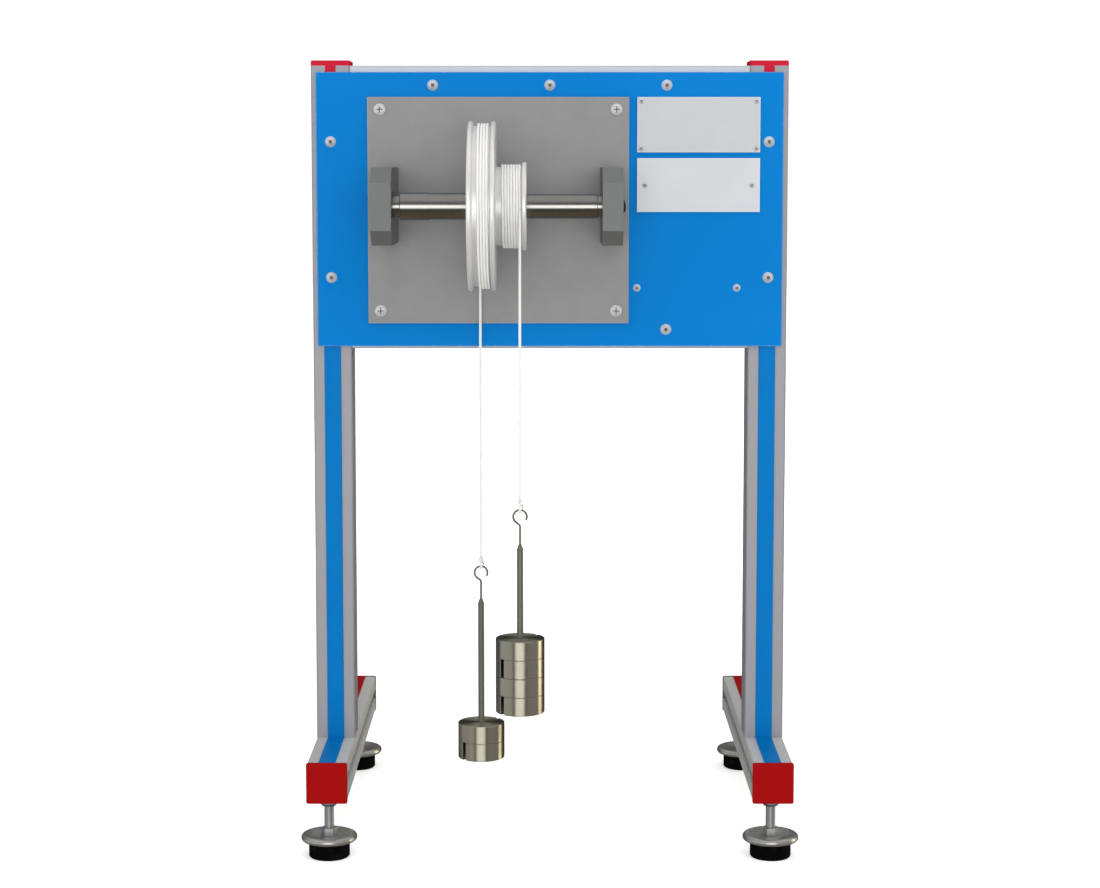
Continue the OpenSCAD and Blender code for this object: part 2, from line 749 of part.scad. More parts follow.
// Outer ring with a thin shield on each side
module bearing_outer_ring() {
  land_r = bearing_mid_r + race_gap / 2;
  shield_r = bearing_mid_r - race_gap / 2 + 0.4;
  difference() {
    turned([
      [land_r, 0], [bearing_d / 2, 0], [bearing_d / 2, bearing_w], [land_r, bearing_w],
      [land_r, bearing_w - shield_inset], [shield_r, bearing_w - shield_inset],
      [shield_r, bearing_w - shield_inset - shield_t], [land_r, bearing_w - shield_inset - shield_t],
      [land_r, shield_inset + shield_t], [shield_r, shield_inset + shield_t],
      [shield_r, shield_inset], [land_r, shield_inset]]);
    ball_track();
  }
}

module bearing_inner_ring() {
  land_r = bearing_mid_r - race_gap / 2;
  bore_r = journal_d / 2 + fit_room;
  difference() {
    turned([[bore_r, 0], [land_r, 0], [land_r, bearing_w], [bore_r, bearing_w]]);
    ball_track();
  }
}

module left_bearing_outer_ring() { in_support(gap_x, -1) bearing_outer_ring(); }
module left_bearing_inner_ring() { in_support(gap_x, -1) bearing_inner_ring(); }
module right_bearing_outer_ring() { in_support(right_support_x, 1) bearing_outer_ring(); }
module right_bearing_inner_ring() { in_support(right_support_x, 1) bearing_inner_ring(); }

module ball_circle() {
  for (i = [0:ball_count - 1]) rotate([i * 360 / ball_count, 0, 0])
    translate([bearing_w / 2, 0, bearing_mid_r]) sphere(d = ball_d, $fn = 32);
}

module bearing_balls() {
  in_support(gap_x, -1) ball_circle();
  in_support(right_support_x, 1) ball_circle();
}

// Axle, sleeve and stepped wheel

module on_axle() {
  on_stand() translate([0, axle_y, axle_z]) children();
}

// One turned piece: journals at both ends, a seat for the wheel and a thick right part
module axle() {
  journal_r = journal_d / 2;
  line_x = axle_neck_x - 2;
  left_x = left_support_x + 1;
  right_x = right_support_x + support_t;
  color(steel) on_axle() difference() {
    turned([
      [0, left_x], [journal_r - 0.6, left_x], [journal_r, left_x + 0.6], [journal_r, wheel_x],
      [seat_d / 2, wheel_x], [seat_d / 2, hub_end_x], [shoulder_d / 2, hub_end_x],
      [shoulder_d / 2, line_x], [shoulder_d / 2 - 0.5, line_x], [shoulder_d / 2 - 0.5, line_x + 0.6],
      [shoulder_d / 2, line_x + 0.6], [shoulder_d / 2, axle_neck_x - 0.5],
      [shoulder_d / 2 - 0.5, axle_neck_x], [neck_d / 2, axle_neck_x],
      [neck_d / 2, right_support_x], [journal_r, right_support_x], [journal_r, right_x],
      [0, right_x]]);
    translate([wheel_x + 5, -key_w / 2, key_z]) cube([key_l, key_w, key_h]);
    bar_x(end_screw[2] + 2 * thread_room, right_x - end_screw[3] - 1, right_x + 1);
  }
}

module left_sleeve() {
  bore_r = journal_d / 2 + fit_room;
  step_x = sleeve_x + 0.43 * sleeve_l;
  step_r = sleeve_d / 2 - 0.4;
  color(steel) on_axle() turned([
    [bore_r, gap_x], [neck_d / 2, gap_x], [neck_d / 2, sleeve_x], [sleeve_d / 2 - 0.5, sleeve_x],
    [sleeve_d / 2, sleeve_x + 0.5], [sleeve_d / 2, step_x], [step_r, step_x],
    [step_r, wheel_x], [bore_r, wheel_x]]);
}

// Key with round ends, half in the axle and half in the wheel
module wheel_key() {
  color(steel) on_axle() translate([wheel_x + 5, 0, key_z]) {
    for (x = [key_w / 2, key_l - key_w / 2]) translate([x, 0, 0]) cylinder(d = key_w, h = key_h);
    translate([key_w / 2, -key_w / 2, 0]) cube([key_l - key_w, key_w, key_h]);
  }
}

// Black screw in the right end of the axle
module axle_end_screw() {
  color(black) on_axle() translate([right_support_x + support_t, 0, 0]) rotate([0, 90, 0])
    button_screw(end_screw);
}

// Wheel and drum in one turned piece, with bevelled flange rims and a keyway in the bore
module stepped_wheel() {
  bore_r = seat_d / 2 + fit_room;
  wheel_r = wheel_floor_r + flange_h;
  drum_r = drum_floor_r + flange_h;
  rim = 0.8;
  root = 0.6;
  color(steel) on_axle() difference() {
    turned([
      [bore_r, wheel_x], [wheel_r - rim, wheel_x], [wheel_r, wheel_x + rim],
      [wheel_r, groove_x - rim], [wheel_r - rim, groove_x], [wheel_floor_r + root, groove_x],
      [wheel_floor_r, groove_x + root], [wheel_floor_r, web_x - root],
      [wheel_floor_r + root, web_x], [wheel_r - rim, web_x], [wheel_r, web_x + rim],
      [wheel_r, drum_x - rim], [wheel_r - rim, drum_x], [drum_floor_r + root, drum_x],
      [drum_floor_r, drum_x + root], [drum_floor_r, drum_end_x - root],
      [drum_floor_r + root, drum_end_x], [drum_r - rim, drum_end_x], [drum_r, drum_end_x + rim],
      [drum_r, hub_end_x - rim], [drum_r - rim, hub_end_x], [bore_r, hub_end_x]]);
    translate([wheel_x - 1, -key_w / 2 - fit_room, 0])
      cube([hub_end_x - wheel_x + 2, key_w + 2 * fit_room, key_z + key_h + fit_room]);
  }
}

// Cords

module wheel_cord_winding() {
  color(cord_white) on_stand() skin(winding_rings(wheel_winding_path, 1));
}

module axle_cord_winding() {
  color(cord_white) on_stand() skin(winding_rings(drum_winding_path, -1));
}

// Straight hanging cord from its top down to the knot above a load
module hanging_cord(x, y, load_z) {
  color(cord_white) on_stand() skin([for (z = [load_z + knot_top_z, cord_top_z])
    ring([x, y, z], [1, 0, 0], [0, 0, 1], cord_sides)]);
}

module wheel_cord() { hanging_cord(wheel_cord_x, wheel_cord_y, wheel_load_z); }
module axle_cord() { hanging_cord(axle_cord_x, axle_cord_y, axle_load_z); }

// Loop round the hook's wire, with a barrel-shaped knot on top
module cord_loop(x, y, load_z) {
  edge = 0.6;
  color(cord_white) on_stand() translate([x, y, load_z]) {
    translate([0, 0, loop_z]) rotate([0, 90, 0]) rotate_extrude() translate([loop_r, 0])
      circle(cord_r, $fn = 24);
    translate([0, 0, knot_z]) rotate_extrude() polygon([
      [0, 0], [knot_d / 2 - edge, 0], [knot_d / 2, edge], [knot_d / 2, knot_h - edge],
      [knot_d / 2 - edge, knot_h], [0, knot_h]]);
  }
}

module wheel_cord_loop() { cord_loop(wheel_cord_x, wheel_cord_y, wheel_load_z); }
module axle_cord_loop() { cord_loop(axle_cord_x, axle_cord_y, axle_load_z); }

// Loads

// Arc of wire in the XZ plane, round its own centre
module wire_arc(r, from, turn) {
  rotate([90, 0, 0]) rotate(from) rotate_extrude(angle = turn) translate([r, 0])
    circle(d = wire_d, $fn = 24);
}

// Foot, rod, cone and stem in one turned piece, and the hook bent from its wire
module hanger(x, y, load_z) {
  bevel = 0.4;
  color(steel) on_stand() translate([x, y, load_z]) {
    rotate_extrude() polygon([
      [0, 0], [hanger_foot_d / 2 - bevel, 0], [hanger_foot_d / 2, bevel],
      [hanger_foot_d / 2, hanger_foot_t], [rod_d / 2, hanger_foot_t], [rod_d / 2, cone_z],
      [wire_d / 2, cone_z + cone_h], [wire_d / 2, stem_top_z], [0, stem_top_z]]);
    translate([-elbow_r, 0, stem_top_z]) wire_arc(elbow_r, 0, elbow_turn);
    translate([0, 0, hook_z]) {
      translate([arc_end[0], 0, arc_end[1]]) rotate([0, 90 - atan2(hook_run[1], hook_run[0]), 0])
        translate([0, 0, -run_lap]) cylinder(d = run_d, h = run_l + 2 * run_lap, $fn = 24);
      wire_arc(hook_r, hook_start, hook_end - hook_start);
    }
  }
}

module wheel_load_hanger() { hanger(wheel_cord_x, wheel_cord_y, wheel_load_z); }
module axle_load_hanger() { hanger(axle_cord_x, axle_cord_y, axle_load_z); }

// Slotted disc: bore for the rod, slot for the stem, and a recess that covers the hanger's foot
module slotted_disc(angle) {
  r = disc_d / 2;
  bore_r = rod_d / 2 + disc_bore_room;
  recess_r = hanger_foot_d / 2 + disc_foot_room;
  difference() {
    rotate_extrude() polygon([
      [bore_r, hanger_foot_t], [recess_r, hanger_foot_t], [recess_r, 0], [r - disc_edge, 0],
      [r, disc_edge], [r, disc_t - disc_edge], [r - disc_edge, disc_t], [bore_r, disc_t]]);
    rotate(angle) translate([0, -disc_slot_w / 2, -1]) cube([r + 1, disc_slot_w, disc_t + 2]);
  }
}

// Disc of a load, counted from the bottom; every second one has its slot turned away
module load_disc(x, y, load_z, i) {
  color(steel) on_stand() translate([x, y, load_z + (i - 1) * disc_t])
    slotted_disc(disc_slot_angle + 180 * (i - 1));
}

module wheel_load_disc(i) { load_disc(wheel_cord_x, wheel_cord_y, wheel_load_z, i); }
module axle_load_disc(i) { load_disc(axle_cord_x, axle_cord_y, axle_load_z, i); }
module wheel_load_disc_1() { wheel_load_disc(1); }
module wheel_load_disc_2() { wheel_load_disc(2); }
module axle_load_disc_1() { axle_load_disc(1); }
module axle_load_disc_2() { axle_load_disc(2); }
module axle_load_disc_3() { axle_load_disc(3); }
module axle_load_disc_4() { axle_load_disc(4); }

// Feet

// Pressed disc with a rolled rim that runs smoothly into a shallow dish, hexagon and stud
module foot(place) {
  rim_r = foot_rim_t / 2;
  rim_middle_r = foot_disc_d / 2 - rim_r;
  dish_w = rim_middle_r - foot_hex_w / 2;
  hex_z = pad_h + foot_rim_t - foot_dish;
  color(steel) on_stand() translate([place[0], place[1], 0]) {
    translate([0, 0, pad_h + rim_r]) rotate_extrude() translate([rim_middle_r, 0])
      circle(rim_r, $fn = 32);
    rotate_extrude() polygon(concat([[0, pad_h], [rim_middle_r, pad_h]],
      [for (i = [0:foot_dish_steps]) let (t = i / foot_dish_steps) [
        rim_middle_r - dish_w * t, hex_z + foot_dish * (1 + cos(180 * t)) / 2]], [[0, hex_z]]));
    translate([0, 0, hex_z - 1])
      cylinder(d = foot_hex_w / cos(30), h = foot_hex_h + 1, $fn = 6);
    translate([0, 0, hex_z]) cylinder(d = stud_d, h = stud_top_z - hex_z);
  }
}

module front_left_foot() { foot(foot_places[0]); }
module front_right_foot() { foot(foot_places[1]); }
module rear_left_foot() { foot(foot_places[2]); }
module rear_right_foot() { foot(foot_places[3]); }

module pad(place) {
  edge = 1;
  color(black) on_stand() translate([place[0], place[1], 0]) rotate_extrude() polygon([
    [0, 0], [pad_d / 2 - edge, 0], [pad_d / 2, edge], [pad_d / 2, pad_h], [0, pad_h]]);
}

module front_left_pad() { pad(foot_places[0]); }
module front_right_pad() { pad(foot_places[1]); }
module rear_left_pad() { pad(foot_places[2]); }
module rear_right_pad() { pad(foot_places[3]); }

// Nuts with their lower corners turned to a cone
module foot_nuts() {
  corner_d = foot_nut_w / cos(30);
  corner_cone_h = 0.35 * foot_nut_h;
  color(steel) on_stand() for (p = foot_places)
    translate([p[0], p[1], foot_h - foot_nut_h]) difference() {
      intersection() {
        cylinder(d = corner_d, h = foot_nut_h, $fn = 6);
        rotate_extrude() polygon([
          [0, 0], [foot_nut_w * 0.4, 0], [corner_d / 2, corner_cone_h], [corner_d / 2, foot_nut_h],
          [0, foot_nut_h]]);
      }
      translate([0, 0, -1]) cylinder(d = stud_d + 2 * thread_room, h = foot_nut_h + 2);
    }
}

left_upright();
right_upright();
top_rail();
bottom_rail();
left_base_beam();
right_base_beam();
left_upright_cap();
right_upright_cap();
front_end_caps();
rear_end_caps();
left_upright_strip();
right_upright_strip();
front_base_strips();
rear_base_strips();
front_panel();
mounting_plate();
upper_label_plate();
lower_label_plate();
frame_screws();
panel_screws();
slot_nuts();
plate_screws();
label_screws();
small_screws();
left_bearing_support();
right_bearing_support();
support_screws();
left_bearing_outer_ring();
left_bearing_inner_ring();
right_bearing_outer_ring();
right_bearing_inner_ring();
bearing_balls();
axle();
left_sleeve();
wheel_key();
axle_end_screw();
stepped_wheel();
wheel_cord_winding();
axle_cord_winding();
wheel_cord();
axle_cord();
wheel_cord_loop();
axle_cord_loop();
wheel_load_hanger();
axle_load_hanger();
wheel_load_disc_1();
wheel_load_disc_2();
axle_load_disc_1();
axle_load_disc_2();
axle_load_disc_3();
axle_load_disc_4();
front_left_foot();
front_right_foot();
rear_left_foot();
rear_right_foot();
front_left_pad();
front_right_pad();
rear_left_pad();
rear_right_pad();
foot_nuts();
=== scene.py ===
"""Dresses the wheel and axle apparatus: cords, loops, surface finishes, studio and camera.

Lengths are in metres, in the frame of the CAD model: +X to the right, +Y to the back, +Z up.
"""

import math

import bpy
from bpy.props import FloatProperty, FloatVectorProperty, IntProperty, PointerProperty
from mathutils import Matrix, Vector


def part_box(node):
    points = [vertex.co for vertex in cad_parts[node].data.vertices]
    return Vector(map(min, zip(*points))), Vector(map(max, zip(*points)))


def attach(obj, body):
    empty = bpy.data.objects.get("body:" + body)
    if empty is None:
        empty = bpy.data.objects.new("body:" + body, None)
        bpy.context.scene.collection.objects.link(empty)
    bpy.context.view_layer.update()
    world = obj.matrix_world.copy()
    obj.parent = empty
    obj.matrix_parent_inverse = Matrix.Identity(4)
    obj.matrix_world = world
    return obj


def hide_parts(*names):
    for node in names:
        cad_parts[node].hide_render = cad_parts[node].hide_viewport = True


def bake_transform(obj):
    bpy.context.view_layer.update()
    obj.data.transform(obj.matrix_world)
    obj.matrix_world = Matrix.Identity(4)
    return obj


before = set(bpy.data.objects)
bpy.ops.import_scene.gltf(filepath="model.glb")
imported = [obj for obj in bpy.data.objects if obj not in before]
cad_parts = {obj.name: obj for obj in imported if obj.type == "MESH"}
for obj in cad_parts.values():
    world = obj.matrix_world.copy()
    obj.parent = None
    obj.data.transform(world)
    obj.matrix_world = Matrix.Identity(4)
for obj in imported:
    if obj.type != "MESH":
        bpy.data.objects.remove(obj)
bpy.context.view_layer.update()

bl_info = {
    "name": "Wheel and axle apparatus",
    "version": (1, 0, 0),
    "blender": (4, 5, 0),
    "location": "View3D > Sidebar > Apparatus",
    "description": "Cords, finishes and studio for the wheel and axle apparatus",
    "category": "Object",
}

AXLE = Vector((0, -0.116875, 0.494))
CORD_TOP = 0.492  # height at which a hanging stretch starts
WIRE_RISE = 0.15015  # from a load's underside up to the middle of its hook's wire
KNOT_RISE = 0.1532  # from a load's underside up to the knot of its cord
UNEVEN = 0.00003  # how far the turns of a winding stray from an even helix
DIP_RADIUS = 0.005  # bend with which a winding's end dips into the groove's floor
EYELET_RADIUS, EYELET_WIRE = 0.0017, 0.0004

CAMERA_AT = (-0.00333, -1.82289, 0.52644)
CAMERA_SHIFT = (0.0041, -0.0568)
LIGHTS_AIM = Vector((0, 0, 0.32))
LIGHTS = {  # size and place of each soft light
    "front": (2.4, (0.2, -2.6, 1.2)),
    "key": (1.6, (1.9, -1.2, 1.15)),
    "fill": (1.6, (-2.1, -1.2, 0.9)),
    "top": (2.0, (0.0, -0.6, 2.2)),
    "back": (1.8, (0.4, 2.3, 1.5)),
}


# ---------------------------------------------------------------- settings


def colour(name, description, value):
    """Colour property from sRGB values of 0 to 255."""
    return FloatVectorProperty(
        name=name, description=description, subtype="COLOR", size=3, min=0, max=1,
        default=[linear(v) for v in value])


def linear(value):
    v = value / 255
    return v / 12.92 if v <= 0.04045 else ((v + 0.055) / 1.055) ** 2.4


def amount(name, description, value, top=1.0):
    return FloatProperty(name=name, description=description, default=value, min=0, max=top)


def metres(name, description, value):
    return FloatProperty(
        name=name, description=description, default=value, min=0, subtype="DISTANCE",
        unit="LENGTH", precision=5)


class CordSettings(bpy.types.PropertyGroup):
    """The two white cords"""

    diameter: metres("Diameter", "Thickness of both cords", 0.002)
    colour: colour("Colour", "Colour of the cord's yarn", (220, 220, 216))
    plait: metres("Plait", "Length of one crossing of the braid along the cord", 0.0022)
    relief: amount("Relief", "Depth of the braid as a share of the cord's radius", 0.07)
    sides: IntProperty(
        name="Sides", description="Sides of a cord's cross-section", default=12, min=6, max=32)


class MetalSettings(bpy.types.PropertyGroup):
    """Bare and plated metals"""

    # Painted light and shade: uprights, rails and beams are one anodised aluminium given darker
    # and lighter copies of its colour; the uprights' darker copy is painted shade, the beams'
    # lighter copy painted light.
    profile: colour("Uprights", "Anodised profile of the two uprights", (150, 150, 155))
    beam: colour("Beams", "Anodised profile of the two base beams", (204, 204, 202))
    rail: colour("Rails", "Anodised profile of the two rails", (186, 190, 198))
    plate: colour("Mounting plate", "Blasted mounting plate", (150, 150, 150))
    label: colour("Label plates", "Light brushed plates", (190, 194, 196))
    support: colour("Bearing supports", "Grey bearing supports", (126, 128, 127))
    wheel: colour("Wheel", "Turned aluminium wheel and drum", (234, 233, 231))
    axle: colour("Axle", "Ground steel of axle and sleeve", (174, 172, 168))
    # Painted reflection: the discs' warm, olive tint stands for coloured reflections on the
    # turned steel.
    disc: colour("Discs", "Turned slotted discs", (210, 207, 187))
    hanger: colour("Hangers", "Dull hangers", (126, 126, 112))
    zinc: colour("Screws", "Zinc-plated screws", (226, 227, 228))
    chrome: colour("Feet", "Pressed satin discs of the feet", (206, 206, 202))
    dark_zinc: colour("Foot nuts", "Dark plated nuts", (112, 118, 130))
    black: colour("Black screw", "Blackened end screw", (22, 22, 23))


class PaintSettings(bpy.types.PropertyGroup):
    """Painted and moulded surfaces"""

    panel: colour("Panel", "Blue front panel", (0, 114, 188))
    strip: colour("Cover strips", "Blue cover strips", (0, 108, 177))
    cap: colour("Caps", "Red caps and rear strips", (150, 4, 6))
    upright_cap: colour("Upright caps", "Crimson caps of the uprights", (186, 24, 50))
    rear_cap: colour("Rear caps", "Grey caps at the back of the beams", (112, 114, 116))
    rubber: colour("Pads", "Rubber pads of the feet", (4, 4, 4))
    peel: metres("Orange peel", "Size of the ripples in the panel's paint", 0.0011)


class StudioSettings(bpy.types.PropertyGroup):
    """Camera, lights and floor"""

    lens: FloatProperty(name="Lens", description="Focal length on a 36 mm sensor",
                        default=75.57, min=20, max=200, subtype="DISTANCE_CAMERA")
    tilt: FloatProperty(name="Tilt", description="How far the camera looks down",
                        default=0.0947, subtype="ANGLE")
    front: amount("Front light", "Power of the large light in front", 26, 500)
    key: amount("Key light", "Power of the light on the right", 13, 500)
    fill: amount("Fill light", "Power of the light on the left", 14, 500)
    top: amount("Top light", "Power of the light overhead", 18, 500)
    back: amount("Back light", "Power of the light behind", 14, 500)
    ambient: amount("Ambient", "Brightness of the surroundings", 0.05, 5)
    window: amount("Window", "Brightness of the window in front", 2.8, 20)
    glow: amount("Glow", "Brightness added to the floor near the object, to keep it white", 0.45)
    floor: colour("Floor", "Colour of the floor", (244, 244, 244))


# ---------------------------------------------------------------- shader nodes


class Shade:
    """A socket of a material, with arithmetic that adds Math nodes."""

    def __init__(self, finish, socket):
        self.finish = finish
        self.socket = socket

    def math(self, operation, *others):
        return self.finish.node(
            "ShaderNodeMath", {"operation": operation}, dict(enumerate((self, *others))))

    def __add__(self, other):
        return self.math("ADD", other)

    def __radd__(self, other):
        return self.math("ADD", other)

    def __sub__(self, other):
        return self.math("SUBTRACT", other)

    def __rsub__(self, other):
        return self.finish.node("ShaderNodeMath", {"operation": "SUBTRACT"}, {0: other, 1: self})

    def __mul__(self, other):
        return self.math("MULTIPLY", other)

    def __rmul__(self, other):
        return self.math("MULTIPLY", other)

    def __abs__(self):
        return self.math("ABSOLUTE")

    def sine(self):
        return self.math("SINE")

    def least(self, other):
        return self.math("MINIMUM", other)

    def most(self, other):
        return self.math("MAXIMUM", other)

    def hypot(self, other):
        return (self * self + other * other).math("SQRT")

    def between(self, low, high, out_low=0.0, out_high=1.0):
        """Smooth step from out_low at low to out_high at high."""
        return self.finish.node(
            "ShaderNodeMapRange", {"interpolation_type": "SMOOTHSTEP"},
            {"Value": self, "From Min": low, "From Max": high, "To Min": out_low,
             "To Max": out_high})


class Nodes:
    """A node tree under construction; space is the texture coordinate that gives places."""

    def __init__(self, tree, shader, space):
        self.tree = tree
        self.shader = tree.nodes[shader]
        self.space = space
        self.coordinates = None

    def node(self, kind, settings=None, values=None, output=0):
        """Adds a node: its settings first, then the values or links of its sockets."""
        made = self.tree.nodes.new(kind)
        for name, value in (settings or {}).items():
            setattr(made, name, value)
        for name, value in (values or {}).items():
            self.feed(made.inputs[name], value)
        return Shade(self, made.outputs[output])

    def feed(self, socket, value):
        if isinstance(value, Shade):
            self.tree.links.new(value.socket, socket)
        elif hasattr(socket.default_value, "__len__") and len(socket.default_value) == 4:
            socket.default_value = (*value, 1.0)
        else:
            socket.default_value = value

    def place(self):
        """Position in the CAD model's frame, as three values in metres."""
        if self.coordinates is None:
            self.coordinates = self.split(self.node("ShaderNodeTexCoord", output=self.space))
        return self.coordinates

    def split(self, vector):
        """The three components of a vector."""
        made = self.node("ShaderNodeSeparateXYZ", values={0: vector}).socket.node
        return [Shade(self, s) for s in made.outputs]

    def vector(self, x, y, z):
        return self.node("ShaderNodeCombineXYZ", values={0: x, 1: y, 2: z})

    def noise(self, x, y, z, detail=2.0, roughness=0.5):
        """Noise of 0 to 1 on coordinates that are already scaled to its grain."""
        return self.node(
            "ShaderNodeTexNoise", {"noise_dimensions": "3D"},
            {"Vector": self.vector(x, y, z), "Scale": 1.0, "Detail": detail,
             "Roughness": roughness})

    def grain(self, size, detail=2.0, roughness=0.5):
        x, y, z = self.place()
        return self.noise(x * (1 / size), y * (1 / size), z * (1 / size), detail, roughness)

    def drawn(self, axis, along, across, detail, roughness=0.5):
        """Noise drawn out along an axis; along and across are its waves per metre."""
        scale = [across] * 3
        scale[axis] = along
        x, y, z = self.place()
        return self.noise(x * scale[0], y * scale[1], z * scale[2], detail, roughness)

    def cells(self, size):
        """Distance from the nearest of scattered points, in cells."""
        x, y, z = self.place()
        return self.node(
            "ShaderNodeTexVoronoi", {"feature": "F1"},
            {"Vector": self.vector(x * (1 / size), y * (1 / size), z * (1 / size)),
             "Scale": 1.0})

    def blend(self, factor, first, second):
        """Mix of two colours."""
        mix = self.tree.nodes.new("ShaderNodeMix")
        mix.data_type = "RGBA"
        self.feed(mix.inputs[0], factor)
        self.feed(mix.inputs[6], first)
        self.feed(mix.inputs[7], second)
        return Shade(self, mix.outputs[2])

    def tint(self, base, factor, dark=0.9, light=1.06):
        """The base colour from darker at factor 0 to lighter at factor 1."""
        return self.blend(
            factor, [c * dark for c in base], [min(1.0, c * light) for c in base])


class Room(Nodes):
    """The world's surroundings; a place in it is a direction."""

    def __init__(self, world):
        super().__init__(world.node_tree, "Background", "Generated")


class Finish(Nodes):
    """A material."""

    def __init__(self, name, metallic=0.0, ior=1.5, specular=0.5):
        self.material = bpy.data.materials.new(name)
        self.material.use_nodes = True
        super().__init__(self.material.node_tree, "Principled BSDF", "Object")
        self.shader.inputs["Metallic"].default_value = metallic
        self.shader.inputs["IOR"].default_value = ior
        self.shader.inputs["Specular IOR Level"].default_value = specular

    def relief(self, height, depth, strength=1.0):
        """Feeds the normal from a height of 0 to 1 that stands for depth in metres."""
        normal = self.node(
            "ShaderNodeBump", {}, {"Strength": strength, "Distance": depth, "Height": height})
        self.feed(self.shader.inputs["Normal"], normal)

    def set(self, **inputs):
        for name, value in inputs.items():
            self.feed(self.shader.inputs[name.replace("_", " ").title()], value)
        return self.material


def edge_mask(finish, node, width):
    """1 along the outline of an upright plate and 0 inside it, from its box."""
    low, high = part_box(node)
    x, _, z = finish.place()
    across = (x - low.x).least(high.x - x)
    return across.least((z - low.z).least(high.z - z)).between(0.0, width, 1.0, 0.0)


def extruded_metal(name, base, along):
    """Anodised profile with die lines that run along one axis."""
    f = Finish(name, metallic=0.35)
    lines = f.drawn(along, 5.0, 1500.0, 3.0, 0.6)
    bands = f.drawn(along, 2.0, 160.0, 1.0)
    cloud = f.grain(0.05, 1.0)
    f.relief(lines * 0.7 + bands * 0.3, 0.000012, 0.8)
    return f.set(
        base_color=f.tint(base, lines * 0.4 + bands * 0.4 + cloud * 0.2, 0.9, 1.08),
        roughness=0.4 + 0.12 * lines + 0.05 * cloud)


def moulded_plastic(name, base, grain, roughness, along=None):
    """Moulded or extruded plastic; along is the axis of extrusion lines."""
    f = Finish(name, specular=0.05)
    skin = f.grain(grain)
    if along is not None:
        skin = skin * 0.4 + 0.6 * f.drawn(along, 4.0, 1100.0, 2.0)
    cloud = f.grain(0.02)
    dust, dust_colour = f.grain(0.0009).between(0.6, 0.75), (0.75, 0.72, 0.7)
    shade = f.tint(base, cloud, 0.94, 1.05)
    f.relief(skin, 0.00002)
    return f.set(
        base_color=f.blend(dust * 0.006, shade, dust_colour),
        roughness=roughness - 0.05 + 0.1 * skin + 0.06 * cloud)


def about_axle(x, y, z):
    """Place on the axle's own lathe: along its axis, and out from it."""
    return x, (y - AXLE.y).hypot(z - AXLE.z)


def turned_metal(name, base, lathe, pitch, roughness=0.22, stretch=0.0, metallic=1.0):
    """Lathe-turned metal, with fine rings.

    lathe gives the place along and out from the axis of turning. stretch draws the gloss out
    along a vertical axis, as turning marks do.
    """
    f = Finish(name, metallic=metallic)
    f.set(anisotropic=stretch, anisotropic_rotation=0.25, specular_tint=[0.55] * 3)
    along, out = lathe(*f.place())
    scale = 1 / pitch
    rings = f.noise(along * scale, out * scale, 0.0, 2.0, 0.65)
    wide = f.noise(along * (scale / 9), out * (scale / 9), 3.0, 1.0)
    smear = f.grain(0.006)
    f.relief(rings * 0.75 + wide * 0.25, pitch * 0.06, 0.7)
    return f.set(
        base_color=f.tint(base, rings * 0.5 + wide * 0.3 + smear * 0.2, 0.86, 1.06),
        roughness=roughness - 0.06 + 0.1 * rings + 0.08 * smear)


def plated_metal(name, base, roughness, grain=0.0015, metallic=1.0):
    """Plated steel with a faint ripple and handling marks."""
    f = Finish(name, metallic=metallic, specular=0.3)
    ripple = f.grain(grain)
    marks = f.grain(0.008, 3.0, 0.7)
    f.relief(ripple, 0.000008, 0.6)
    return f.set(
        base_color=f.tint(base, marks * 0.6 + ripple * 0.4, 0.85, 1.08),
        roughness=roughness - 0.04 + 0.12 * marks)


# ---------------------------------------------------------------- meshes


def new_piece(name, vertices, faces):
    """Smoothly shaded object from its corners and faces."""
    mesh = bpy.data.meshes.new(name)
    mesh.from_pydata([tuple(v) for v in vertices], [], faces)
    mesh.validate()
    mesh.polygons.foreach_set("use_smooth", [True] * len(mesh.polygons))
    piece = bpy.data.objects.new(name, mesh)
    bpy.context.scene.collection.objects.link(piece)
    return piece


def arc_length(path):
    return sum((b - a).length for a, b in zip(path, path[1:]))


def spline(points, steps):
    """Smooth curve through points, with so many steps between neighbours."""
    ends = [points[0] * 2 - points[1], *points, points[-1] * 2 - points[-2]]
    out = []
    for i in range(1, len(ends) - 2):
        a, b, c, d = ends[i - 1:i + 3]
        for k in range(steps):
            t = k / steps
            out.append(0.5 * (
                2 * b + (c - a) * t + (2 * a - 5 * b + 4 * c - d) * t * t
                + (3 * b - a - 3 * c + d) * t * t * t))
    out.append(points[-1].copy())
    return out


def resample(path, step):
    """The same curve with points a fixed step apart."""
    total = arc_length(path)
    count = max(2, round(total / step))
    out, i, done = [path[0].copy()], 0, 0.0
    for k in range(1, count):
        goal = total * k / count
        while done + (path[i + 1] - path[i]).length < goal:
            done += (path[i + 1] - path[i]).length
            i += 1
        t = (goal - done) / (path[i + 1] - path[i]).length
        out.append(path[i].lerp(path[i + 1], t))
    out.append(path[-1].copy())
    return out


